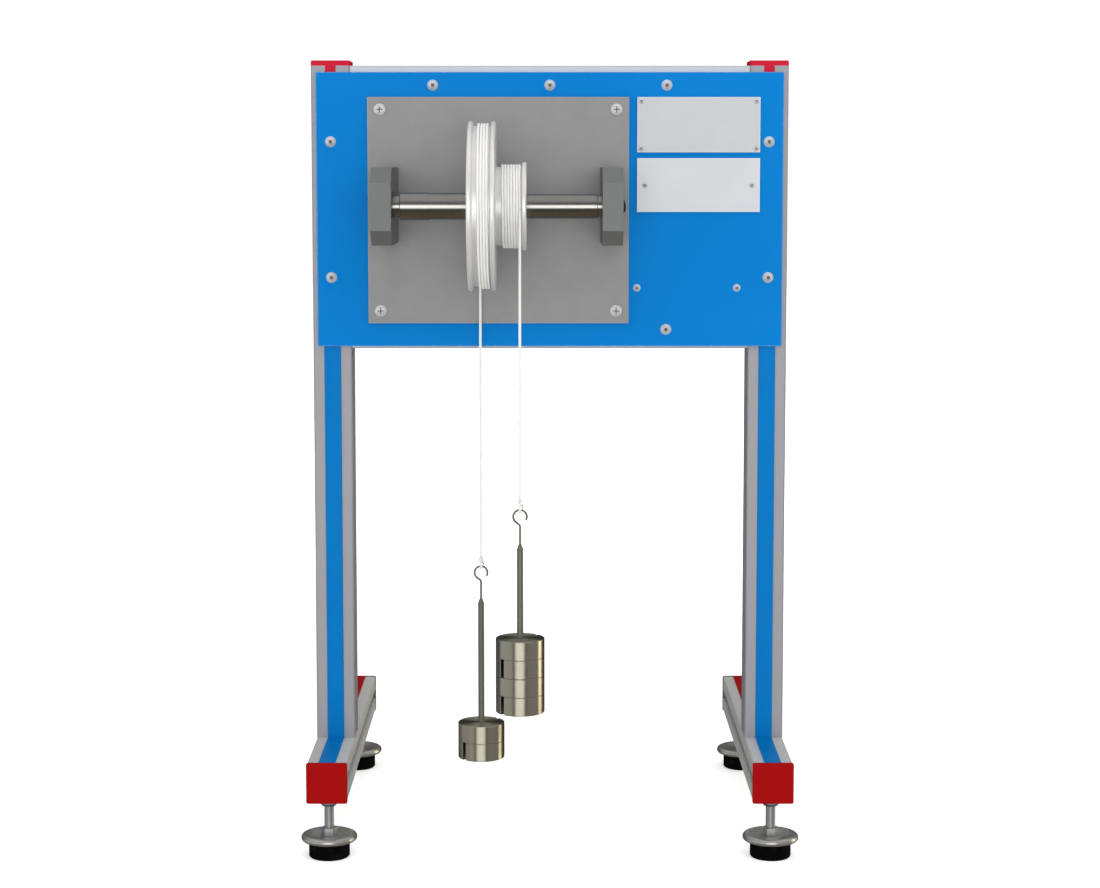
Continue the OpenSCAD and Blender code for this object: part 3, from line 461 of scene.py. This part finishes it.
def tube(name, path, radius, sides, round_ends=(False, False), relief=0.0, plait=0.0022):
    """Cord along a path, with a UV map "braid": once round in U, one plait in V.

    relief raises the crossings of the braid by that share of the radius.
    """
    tangents = []
    for i in range(len(path)):
        a, b = path[max(i - 1, 0)], path[min(i + 1, len(path) - 1)]
        tangents.append((b - a).normalized())
    side = tangents[0].orthogonal().normalized()
    stations, radii, sides_at = [0.0], [radius] * len(path), []
    for a, b in zip(path, path[1:]):
        stations.append(stations[-1] + (b - a).length)
    for t in tangents:
        side = (side - t * side.dot(t)).normalized()
        sides_at.append(side.copy())
    total = stations[-1]
    for i, s in enumerate(stations):
        for on, far in ((round_ends[0], s), (round_ends[1], total - s)):
            if on and far < radius:
                rounded = math.sqrt(max(0.04, 1 - (1 - far / radius) ** 2))
                radii[i] = min(radii[i], radius * rounded)
    vertices, faces, uvs = [], [], []
    for p, t, n, r, s in zip(path, tangents, sides_at, radii, stations):
        across = t.cross(n)
        for k in range(sides):
            a = math.tau * k / sides
            turn = math.tau * s / plait
            raised = 0.5 * (abs(math.cos(2 * a + turn)) + abs(math.cos(2 * a - turn)))
            r_k = r * (1 + relief * (raised - 0.6))
            vertices.append(p + n * (r_k * math.cos(a)) + across * (r_k * math.sin(a)))
    last = len(path) - 1
    for i in range(last):
        for k in range(sides):
            j, here, there = (k + 1) % sides, i * sides, (i + 1) * sides
            faces.append((here + k, here + j, there + j, there + k))
            u0, u1 = k / sides, (k + 1) / sides
            v0, v1 = stations[i] / plait, stations[i + 1] / plait
            uvs += [(u0, v0), (u1, v0), (u1, v1), (u0, v1)]
    faces.append(tuple(range(sides - 1, -1, -1)))
    faces.append(tuple(range(last * sides, (last + 1) * sides)))
    uvs += [(0.5, 0.0)] * sides + [(0.5, total / plait)] * sides
    piece = new_piece(name, vertices, faces)
    layer = piece.data.uv_layers.new(name="braid")
    for loop, uv in zip(layer.data, uvs):
        loop.uv = uv
    return piece


def ring_piece(name, centre, axis, major, minor, around=32, sides=12):
    """Round ring of wire about an axis."""
    axis = axis.normalized()
    u = axis.orthogonal().normalized()
    v = axis.cross(u)
    vertices, faces = [], []
    for i in range(around):
        a = math.tau * i / around
        out = u * math.cos(a) + v * math.sin(a)
        here, there = i * sides, (i + 1) % around * sides
        for k in range(sides):
            b, j = math.tau * k / sides, (k + 1) % sides
            vertices.append(
                centre + out * (major + minor * math.cos(b)) + axis * (minor * math.sin(b)))
            faces.append((here + k, there + k, there + j, here + j))
    return new_piece(name, vertices, faces)


def dress(material, *names):
    """Gives CAD nodes or pieces a material."""
    for name in names:
        data = bpy.data.objects[name].data
        data.materials.clear()
        data.materials.append(material)
        data.polygons.foreach_set("material_index", [0] * len(data.polygons))


# ---------------------------------------------------------------- cords


class Line:
    """One cord: where it leaves its groove, how it is wound, and the load on it.

    side is 1 for a cord that hangs behind the axle and -1 for one in front of it. way is 1 for
    turns that walk to the right and -1 for the left. lead is the extra step in the first half
    turn.
    """

    def __init__(self, name, x, radius, side, way, lead, pitch, turns, load_z):
        self.name = name
        self.x = x
        self.radius = radius
        self.side = side
        self.way = way
        self.lead = lead
        self.pitch = pitch
        self.turns = turns
        self.y = AXLE.y + side * radius
        self.wire_z = load_z + WIRE_RISE
        self.knot_z = load_z + KNOT_RISE

    def about_load(self, x, y, z):
        """Place on the load's own lathe: up its axis, and out from it."""
        return z, (x - self.x).hypot(y - self.y)

    def out(self, angle):
        return Vector((0, self.side * math.cos(angle), math.sin(angle)))

    def along(self, angle):
        return Vector((0, -self.side * math.sin(angle), math.cos(angle)))

    def wound(self, angle):
        settled = min(angle, math.pi)
        walk = self.pitch * angle / math.tau + self.lead * (1 - math.cos(settled)) / 2
        uneven = UNEVEN * math.sin(settled) if angle < math.pi / 2 else UNEVEN
        walk += uneven * (math.sin(3.3 * angle) + math.sin(7.9 * angle + 1))
        out = self.radius + uneven * (math.sin(5.3 * angle) + math.sin(11.7 * angle + 2))
        return Vector((self.x + self.way * walk, AXLE.y, AXLE.z)) + self.out(angle) * out

    def station(self, turn):
        """Point on the axle's axis beside that turn."""
        return Vector((self.x + self.way * (self.lead + self.pitch * turn), AXLE.y, AXLE.z))

    def winding(self):
        """From the end held in the groove's floor, round the turns, to the hanging stretch."""
        per_turn = 72
        count = round(self.turns * per_turn)
        end = self.turns * math.tau
        path = [self.wound(0) - Vector((0, 0, AXLE.z - CORD_TOP))]
        path += [self.wound(i * math.tau / per_turn) for i in range(count + 1)]
        middle = self.wound(end) - self.out(end) * DIP_RADIUS
        for degrees in range(8, 65, 8):
            a = math.radians(degrees)
            dip = self.out(end) * math.cos(a) + self.along(end) * math.sin(a)
            path.append(middle + dip * DIP_RADIUS)
        return path[::-1]

    def hanging(self):
        """Straight down from the winding to just above the knot."""
        low, parts = self.knot_z + 0.004, 24
        return [Vector((self.x, self.y, CORD_TOP + (low - CORD_TOP) * i / parts))
                for i in range(parts + 1)]


LINES = (
    Line("wheel", -0.05325, 0.060, 1, 1, 0.0006, 0.00208, 4.0, 0.065),
    Line("axle", -0.022, 0.030, -1, -1, 0.0, 0.00207, 6.5, 0.1225),
)


def braided_cord(settings):
    """White braid, made once: two sets of yarns that cross, from the cord's own UV map; the dips
    between the crossings are painted darker, painted shade.
    """
    name = "white_braid"
    if name in bpy.data.materials:
        return bpy.data.materials[name]
    f = Finish(name, specular=0.1)
    u, v, _ = f.split(f.node("ShaderNodeUVMap", {"uv_map": "braid"}))
    around, along = u * (2 * math.tau), v * math.tau
    crossing = abs((around + along).sine()).most(abs((around - along).sine()))
    yarn = f.grain(0.00018, 2.0, 0.7)
    soil = f.grain(0.02)
    f.relief(crossing * 0.75 + yarn * 0.25, settings.diameter * 0.05)
    f.set(sheen_weight=0.04, subsurface_weight=0.35, subsurface_scale=0.0015,
          subsurface_radius=[1.0] * 3)
    # Painted shade: the dips between the braid's crossings are darker and the crossings lighter;
    # soil is real soiling.
    crossing_shade_and_soil = crossing.between(0.15, 0.75) * 0.8 + soil * 0.2
    return f.set(
        base_color=f.tint(list(settings.colour), crossing_shade_and_soil, 0.9, 1.03), roughness=0.78 + 0.12 * yarn)


class APPARATUS_OT_wind_cords(bpy.types.Operator):
    """Wind the cords on the wheel and on the drum"""

    bl_idname = "apparatus.wind_cords"
    bl_label = "Wind the cords"

    def execute(self, context):
        cord = context.scene.apparatus_cord
        material = braided_cord(cord)
        for line in LINES:
            path = line.winding()
            piece = tube(
                f"{line.name}_cord_turns", resample(path, 0.0012), cord.diameter / 2, cord.sides,
                relief=cord.relief, plait=cord.plait)
            dress(material, piece.name)
            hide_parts(f"{line.name}_cord_winding")
            arc_length(path)
            line.station(0)
            line.station(line.turns)
            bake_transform(piece)
            self.anchor(line)
        return {"FINISHED"}

    def anchor(self, line):
        """Steel eyelet where the cord goes into the groove's floor."""
        end = line.turns * math.tau
        floor = line.wound(end) - line.out(end) * 0.0011 + line.along(end) * 0.0036
        eyelet = ring_piece(
            f"{line.name}_cord_eyelet", floor, line.out(end) * 0.8 + line.along(end) * 0.2,
            EYELET_RADIUS, EYELET_WIRE)
        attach(eyelet, "wheel_and_axle")


class APPARATUS_OT_hang_cords(bpy.types.Operator):
    """Hang the straight stretches of cord, each with its loop and knot at the hook"""

    bl_idname = "apparatus.hang_cords"
    bl_label = "Hang the cords"

    def execute(self, context):
        cord = context.scene.apparatus_cord
        material = braided_cord(cord)
        for line in LINES:
            body = f"{line.name}_line"
            loop = self.loop(line, cord)
            knot = self.knot(line, cord)
            for piece in (loop, *knot):
                dress(material, piece.name)
                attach(piece, body)
            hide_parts(f"{line.name}_cord_loop")
            path = line.hanging()
            piece = tube(
                f"{line.name}_cord_hanging", resample(path, 0.00055), cord.diameter / 2,
                cord.sides, relief=cord.relief, plait=cord.plait)
            dress(material, piece.name)
            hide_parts(f"{line.name}_cord")
            arc_length(path)
            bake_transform(piece)
        return {"FINISHED"}

    def loop(self, line, cord):
        """Loop that passes under the top of the hook's wire."""
        wire = Vector((line.x, line.y, line.wire_z))
        shape = [(0.75, 4.9), (0.9, 3.6), (1.55, 2.0), (1.98, 0.4), (1.5, -1.35), (0.0, -2.0),
                 (-1.5, -1.35), (-1.98, 0.4), (-1.55, 2.0), (-0.9, 3.6), (-0.75, 4.9)]
        path = spline([wire + Vector((0, y, z)) * 0.001 for y, z in shape], 8)
        return tube(
            f"{line.name}_cord_eye", resample(path, 0.00035), cord.diameter * 0.48, cord.sides,
            relief=cord.relief, plait=cord.plait)

    def knot(self, line, cord):
        """Three turns round the cord, and the short tail that sticks out of them."""
        foot = Vector((line.x, line.y, line.knot_z + 0.0006))
        turns, per_turn, rise, r, tucked = 2.75, 28, 0.0014, 0.00128, 8
        path = []
        for i in range(int(turns * per_turn) + 1):
            a = math.tau * i / per_turn
            tuck = sum(0.25 * max(0.0, 1 - k / tucked) for k in (i, turns * per_turn - i))
            path.append(foot + Vector((
                r * (1 - tuck) * math.cos(a), r * (1 - tuck) * math.sin(a),
                rise * a / math.tau)))
        wraps = tube(
            f"{line.name}_cord_knot", path, cord.diameter * 0.38, cord.sides,
            round_ends=(True, True), relief=cord.relief, plait=cord.plait)
        ends = [(0.2, 0.3, 1.2), (0.9, 1.0, 0.7), (1.5, 1.9, -0.3), (1.9, 2.5, -1.8),
                (2.0, 2.8, -3.2)]
        tail = tube(
            f"{line.name}_cord_tail",
            resample(spline([foot + Vector(p) * 0.001 for p in ends], 8), 0.0002),
            cord.diameter * 0.4, cord.sides, round_ends=(False, True), relief=cord.relief,
            plait=cord.plait)
        return wraps, tail


# ---------------------------------------------------------------- finishes


class APPARATUS_OT_finish_stand(bpy.types.Operator):
    """Give the slotted profiles, caps and cover strips their surfaces"""

    bl_idname = "apparatus.finish_stand"
    bl_label = "Finish the stand"

    def execute(self, context):
        metal, paint = context.scene.apparatus_metal, context.scene.apparatus_paint
        # Painted shade and light: the three profiles get darker and lighter copies of one
        # anodised colour.
        dress(extruded_metal("profile_upright", list(metal.profile), 2),
              "left_upright", "right_upright")
        dress(extruded_metal("profile_rail", list(metal.rail), 0), "top_rail", "bottom_rail")
        dress(extruded_metal("profile_beam", list(metal.beam), 1),
              "left_base_beam", "right_base_beam")
        dress(moulded_plastic("upright_cap_plastic", list(paint.upright_cap), 0.0006, 0.34),
              "left_upright_cap", "right_upright_cap")
        dress(moulded_plastic("cap_plastic", list(paint.cap), 0.0006, 0.34), "front_end_caps")
        dress(moulded_plastic("rear_cap_plastic", list(paint.rear_cap), 0.0006, 0.45),
              "rear_end_caps")
        dress(moulded_plastic("strip_upright", list(paint.strip), 0.0005, 0.38, 2),
              "left_upright_strip", "right_upright_strip")
        dress(moulded_plastic("strip_beam", list(paint.strip), 0.0005, 0.38, 1),
              "front_base_strips")
        dress(moulded_plastic("strip_rear", list(paint.cap), 0.0005, 0.38, 1),
              "rear_base_strips")
        return {"FINISHED"}


class APPARATUS_OT_finish_panel(bpy.types.Operator):
    """Paint the panel and finish the plates and their screws"""

    bl_idname = "apparatus.finish_panel"
    bl_label = "Finish the panel"

    def execute(self, context):
        metal, paint = context.scene.apparatus_metal, context.scene.apparatus_paint
        dress(self.painted(list(paint.panel), paint.peel), "front_panel")
        dress(self.blasted("blasted_plate", list(metal.plate)), "mounting_plate")
        dress(self.label("upper_label_plate", [c * 0.88 for c in metal.label]),
              "upper_label_plate")
        dress(self.label("lower_label_plate", list(metal.label)), "lower_label_plate")
        dress(self.screw_heads(list(metal.zinc)),
              "panel_screws", "plate_screws", "label_screws", "small_screws")
        dress(plated_metal("zinc", list(metal.zinc), 0.3, metallic=0.85),
              "support_screws", "frame_screws", "slot_nuts")
        return {"FINISHED"}

    def screw_heads(self, base):
        """Zinc-plated heads whose recess, the part square to the front, is duller and painted
        darker: painted shade in the recess.
        """
        f = Finish("zinc_heads", metallic=0.55, specular=0.3)
        normal = f.split(f.node("ShaderNodeNewGeometry", output="Normal"))
        # Painted shade: the faces square to the front, the floor of the recess, take a dark
        # colour.
        recess_shade, recess_shade_colour = abs(normal[1]).between(0.985, 0.995), (0.2, 0.205, 0.21)
        marks = f.grain(0.002, 3.0, 0.7)
        f.relief(marks, 0.000012, 0.6)
        shade = f.blend(recess_shade, f.tint(base, marks, 0.85, 1.08), recess_shade_colour)
        return f.set(base_color=shade, roughness=0.27 + 0.1 * marks + 0.3 * recess_shade)

    def painted(self, base, peel):
        """Blue coat with orange peel, faint specks and worn edges."""
        f = Finish("panel_paint", specular=0.03)
        speck_colour, worn_colour = (0.35, 0.55, 0.8), (0.55, 0.62, 0.7)
        ripple = f.grain(peel, 2.0, 0.55)
        cloud = f.grain(0.06)
        speck = f.cells(0.0035).between(0.05, 0.09, 1.0, 0.0)
        worn = edge_mask(f, "front_panel", 0.0009)
        chips = f.grain(0.0012, 3.0, 0.7).between(0.56, 0.66)
        f.relief(ripple, 0.00003)
        shade = f.tint(base, cloud * 0.7 + ripple * 0.3, 0.96, 1.04)
        shade = f.blend(speck * 0.04, shade, speck_colour)
        shade = f.blend(worn * (0.12 + 0.4 * chips), shade, worn_colour)
        return f.set(base_color=shade, roughness=0.4 + 0.1 * ripple - 0.06 * cloud,
                     coat_weight=0.03 * cloud)

    def blasted(self, name, base):
        """Blasted aluminium: fine pits, bright flecks and a paler rim."""
        f = Finish(name, metallic=0.55)
        fleck_colour, rim_colour = (0.62, 0.62, 0.61), (0.6, 0.6, 0.6)
        pits = f.grain(0.00035, 2.0, 0.6)
        patch = f.grain(0.018, 3.0, 0.6)
        fleck = f.cells(0.0045).between(0.03, 0.07, 1.0, 0.0)
        rim = edge_mask(f, "mounting_plate", 0.0006)
        f.relief(pits, 0.00005)
        shade = f.tint(base, pits * 0.5 + patch * 0.5, 0.82, 1.16)
        shade = f.blend(fleck * 0.35, shade, fleck_colour)
        shade = f.blend(rim * 0.4, shade, rim_colour)
        return f.set(base_color=shade, roughness=0.52 + 0.12 * pits - 0.1 * fleck)

    def label(self, node, base):
        """Bare brushed plate whose edges are painted brighter: partly wear, partly painted
        highlight.
        """
        f = Finish(f"brushed_{node}", metallic=0.35)
        x, y, z = f.place()
        brush = f.drawn(0, 25.0, 2500.0, 3.0, 0.6)
        cloud = f.noise(x * 18.0 + z * 18.0, y, z * 30.0 - x * 30.0, 2.0)
        # Painted highlight with a little wear: the outline of the plate is mixed towards a pale
        # colour.
        worn, worn_colour = edge_mask(f, node, 0.0007), (0.82, 0.83, 0.84)
        f.relief(brush, 0.00002)
        shade = f.tint(base, brush * 0.4 + cloud * 0.6, 0.9, 1.07)
        return f.set(base_color=f.blend(worn * 0.5, shade, worn_colour),
                     roughness=0.36 + 0.14 * brush)


class APPARATUS_OT_finish_bearings(bpy.types.Operator):
    """Finish the bearing supports and the bearings"""

    bl_idname = "apparatus.finish_bearings"
    bl_label = "Finish the bearings"

    def execute(self, context):
        metal = context.scene.apparatus_metal
        f = Finish("blasted_support", metallic=0.6)
        pits = f.grain(0.0004, 2.0, 0.6)
        patch = f.grain(0.012, 3.0, 0.6)
        f.relief(pits, 0.00006)
        dress(f.set(base_color=f.tint(list(metal.support), pits * 0.6 + patch * 0.4, 0.84, 1.1),
                    roughness=0.5 + 0.14 * pits),
              "left_bearing_support", "right_bearing_support")
        steel = turned_metal("ground_ring", list(metal.axle), about_axle, 0.0002, 0.2)
        dress(steel, "left_bearing_outer_ring", "left_bearing_inner_ring",
              "right_bearing_outer_ring", "right_bearing_inner_ring")
        dress(plated_metal("polished_balls", list(metal.axle), 0.1), "bearing_balls",
              "wheel_cord_eyelet", "axle_cord_eyelet")
        return {"FINISHED"}


class APPARATUS_OT_finish_wheel(bpy.types.Operator):
    """Finish the stepped wheel, the axle, its sleeve, key and end screw"""

    bl_idname = "apparatus.finish_wheel"
    bl_label = "Finish the wheel and axle"

    def execute(self, context):
        metal = context.scene.apparatus_metal
        dress(turned_metal("turned_wheel", list(metal.wheel), about_axle, 0.00018, 0.36,
                           metallic=0.48), "stepped_wheel")
        dress(turned_metal("turned_axle", list(metal.axle), about_axle, 0.00025, 0.2),
              "axle", "left_sleeve", "wheel_key")
        dress(plated_metal("black_oxide", list(metal.black), 0.38, 0.0006), "axle_end_screw")
        return {"FINISHED"}


class APPARATUS_OT_finish_loads(bpy.types.Operator):
    """Finish the hangers and the slotted discs"""

    bl_idname = "apparatus.finish_loads"
    bl_label = "Finish the loads"

    def execute(self, context):
        metal = context.scene.apparatus_metal
        # Painted reflection: the discs' warm base colour stands for coloured reflections.
        for line, discs in zip(LINES, (2, 4)):
            dress(turned_metal(f"turned_discs_{line.name}", list(metal.disc), line.about_load,
                               0.00016, 0.32, 0.88),
                  *[f"{line.name}_load_disc_{i + 1}" for i in range(discs)])
        dress(plated_metal("dull_hanger", list(metal.hanger), 0.5, 0.0012, metallic=0.7),
              "wheel_load_hanger", "axle_load_hanger")
        return {"FINISHED"}


class APPARATUS_OT_finish_feet(bpy.types.Operator):
    """Finish the feet, their rubber pads and nuts"""

    bl_idname = "apparatus.finish_feet"
    bl_label = "Finish the feet"

    def execute(self, context):
        metal, paint = context.scene.apparatus_metal, context.scene.apparatus_paint
        feet = ("front_left", "front_right", "rear_left", "rear_right")
        dress(self.chrome(list(metal.chrome)), *[f"{n}_foot" for n in feet])
        dress(plated_metal("dark_zinc", list(metal.dark_zinc), 0.34), "foot_nuts")
        f = Finish("rubber", specular=0.06)
        rib_pitch, dust_colour = 0.0013, (0.3, 0.29, 0.28)
        skin = f.grain(0.0005, 3.0, 0.6)
        ribs = (f.place()[2] * (math.tau / rib_pitch)).sine() * 0.5 + 0.5
        dust = f.grain(0.006, 3.0, 0.65).between(0.5, 0.9)
        f.relief(skin * 0.5 + ribs * 0.2, 0.00008)
        dress(f.set(base_color=f.blend(dust * 0.03, list(paint.rubber), dust_colour),
                    roughness=0.62 + 0.15 * skin), *[f"{n}_pad" for n in feet])
        return {"FINISHED"}

    def chrome(self, base):
        """Satin plated disc, with hexagon and stud in duller zinc."""
        low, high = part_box("front_left_foot")
        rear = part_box("rear_left_foot")[0].y
        front_y = (low.y + high.y) / 2
        mid_y = front_y + (rear - low.y) / 2
        foot_x = -(low.x + high.x) / 2
        f = Finish("foot_chrome", metallic=0.88)
        x, y, z = f.place()
        out = (abs(x) - foot_x).hypot(abs(y - mid_y) - (mid_y - front_y))
        core, core_colour = out.between(0.0064, 0.0070, 1.0, 0.0), (0.42, 0.44, 0.44)
        marks = f.grain(0.005, 3.0, 0.7)
        rings = f.noise(out * 1600.0, z * 1600.0, 0.0, 2.0)
        f.relief(rings * 0.4 + marks * 0.6, 0.00001, 0.5)
        shade = f.tint(base, marks, 0.9, 1.04)
        return f.set(base_color=f.blend(core, shade, core_colour),
                     roughness=0.24 + 0.1 * marks + core * 0.16)


# ---------------------------------------------------------------- studio


class APPARATUS_OT_set_studio(bpy.types.Operator):
    """Set the camera, the pale floor and the soft lights"""

    bl_idname = "apparatus.set_studio"
    bl_label = "Set the studio"

    def execute(self, context):
        studio = context.scene.apparatus_studio
        self.camera(context, studio)
        self.floor(studio)
        for name, (size, at) in LIGHTS.items():
            self.light(name, getattr(studio, name), size, at)
        self.surroundings(context, studio)
        context.scene.view_settings.view_transform = "Standard"
        return {"FINISHED"}

    def surroundings(self, context, studio):
        """White to look at; in light and reflections a room with a window, a lamp and walls."""
        world = bpy.data.worlds.new("surroundings")
        context.scene.world = world
        world.use_nodes = True
        room = Room(world)
        seen = room.node("ShaderNodeLightPath", output="Is Camera Ray")
        x, y, z = room.place()
        around = x.math("ARCTAN2", -1.0 * y)

        def patch(bearing, half_width, low, high, soft=0.3):
            """1 in a soft-edged part of the room; bearings run from the front to the right."""
            across = abs(around - bearing).between(
                half_width * (1 - soft), half_width * (1 + soft), 1.0, 0.0)
            return across * z.between(low - 0.1, low + 0.1) * z.between(
                high - 0.1, high + 0.1, 1.0, 0.0)

        window = patch(-0.02, 0.36, -0.24, 0.2)
        lamp = patch(1.88, 0.16, -0.4, 0.5)
        walls = patch(-1.25, 0.65, -0.45, 0.4, 0.15) + 0.5 * patch(1.05, 0.5, -0.45, 0.4, 0.15)
        above = z.between(0.3, 0.9, 0.0, 0.5)
        below = z.between(-0.9, -0.4, 1.0, 0.0)
        light = studio.ambient + above + 0.1 * below + studio.window * (
            window + lamp + 0.16 * walls)
        white, warm = (1.0, 1.0, 1.0), (1.0, 0.82, 0.55)
        room.feed(room.shader.inputs["Color"],
                  room.blend((lamp + below) * (1 - seen), white, warm))
        room.feed(room.shader.inputs["Strength"], seen * 1.1 + (1 - seen) * light)

    def camera(self, context, studio):
        data = bpy.data.cameras.new("camera")
        data.sensor_width = 36.0
        data.lens = studio.lens
        data.shift_x, data.shift_y = CAMERA_SHIFT
        data.clip_start, data.clip_end = 0.05, 60
        camera = bpy.data.objects.new("camera", data)
        camera.location = CAMERA_AT
        camera.rotation_euler = (math.pi / 2 - studio.tilt, 0, 0)
        context.scene.collection.objects.link(camera)
        context.scene.camera = camera

    def floor(self, studio):
        """Round white floor that runs out into the white distance and isn't mirrored."""
        rings, sides = (0.5, 1.0, 1.6, 2.4, 3.6, 5.5, 8.0), 60
        turns = [math.tau * k / sides for k in range(sides)]
        vertices = [(r * math.cos(a), r * math.sin(a), 0.0) for r in rings for a in turns]
        faces = [(sides * i + k, sides * (i + 1) + k, sides * (i + 1) + (k + 1) % sides,
                  sides * i + (k + 1) % sides)
                 for i in range(len(rings) - 1) for k in range(sides)]
        faces.append(tuple(range(sides)))
        piece = new_piece("studio_floor", vertices, faces)
        f = Finish("studio_paper", ior=1.3)
        path = f.node("ShaderNodeLightPath").socket.node
        seen, mirrored = Shade(f, path.outputs["Is Camera Ray"]), path.outputs["Is Glossy Ray"]
        mottle = f.grain(0.4, 2.0)
        x, y, _ = f.place()
        glow = seen * x.hypot(y).between(0.4, 1.6, studio.glow, 1.05)
        f.set(emission_strength=1.0, roughness=0.9,
              emission_color=f.blend(glow, (0.0, 0.0, 0.0), (1.0, 1.0, 1.0)),
              base_color=f.tint(list(studio.floor), mottle, 0.99, 1.01))
        clear = f.node("ShaderNodeBsdfTransparent")
        mix = f.tree.nodes.new("ShaderNodeMixShader")
        for socket, end in zip((mirrored, f.shader.outputs[0], clear.socket), mix.inputs):
            f.tree.links.new(socket, end)
        f.tree.links.new(mix.outputs[0], f.tree.nodes["Material Output"].inputs["Surface"])
        dress(f.material, piece.name)

    def light(self, name, power, size, at):
        """Soft square light that looks at the apparatus and isn't mirrored itself."""
        data = bpy.data.lights.new(name, "AREA")
        data.energy = power
        data.size = size
        light = bpy.data.objects.new(name, data)
        light.location = at
        look = LIGHTS_AIM - Vector(at)
        light.rotation_euler = look.to_track_quat("-Z", "Y").to_euler()
        light.visible_glossy = False
        bpy.context.scene.collection.objects.link(light)


STEPS = (
    APPARATUS_OT_set_studio, APPARATUS_OT_wind_cords, APPARATUS_OT_hang_cords,
    APPARATUS_OT_finish_stand, APPARATUS_OT_finish_panel, APPARATUS_OT_finish_bearings,
    APPARATUS_OT_finish_wheel, APPARATUS_OT_finish_loads, APPARATUS_OT_finish_feet,
)


class APPARATUS_PT_panel(bpy.types.Panel):
    """Steps that dress the apparatus"""

    bl_idname = "APPARATUS_PT_panel"
    bl_label = "Wheel and axle apparatus"
    bl_space_type = "VIEW_3D"
    bl_region_type = "UI"
    bl_category = "Apparatus"

    def draw(self, context):
        for group in SETTINGS:
            box = self.layout.box()
            box.label(text=SETTINGS[group].__doc__)
            for name in SETTINGS[group].__annotations__:
                box.prop(getattr(context.scene, group), name)
        for step in STEPS:
            self.layout.operator(step.bl_idname)


SETTINGS = {
    "apparatus_cord": CordSettings,
    "apparatus_metal": MetalSettings,
    "apparatus_paint": PaintSettings,
    "apparatus_studio": StudioSettings,
}


def register():
    for cls in (*SETTINGS.values(), *STEPS, APPARATUS_PT_panel):
        bpy.utils.register_class(cls)
    for name, cls in SETTINGS.items():
        setattr(bpy.types.Scene, name, PointerProperty(type=cls))


def unregister():
    for name in SETTINGS:
        delattr(bpy.types.Scene, name)
    for cls in (APPARATUS_PT_panel, *reversed(STEPS), *SETTINGS.values()):
        bpy.utils.unregister_class(cls)


def main():
    register()
    for step in STEPS:
        group, name = step.bl_idname.split(".")
        getattr(getattr(bpy.ops, group), name)()


if __name__ == "__main__":
    main()
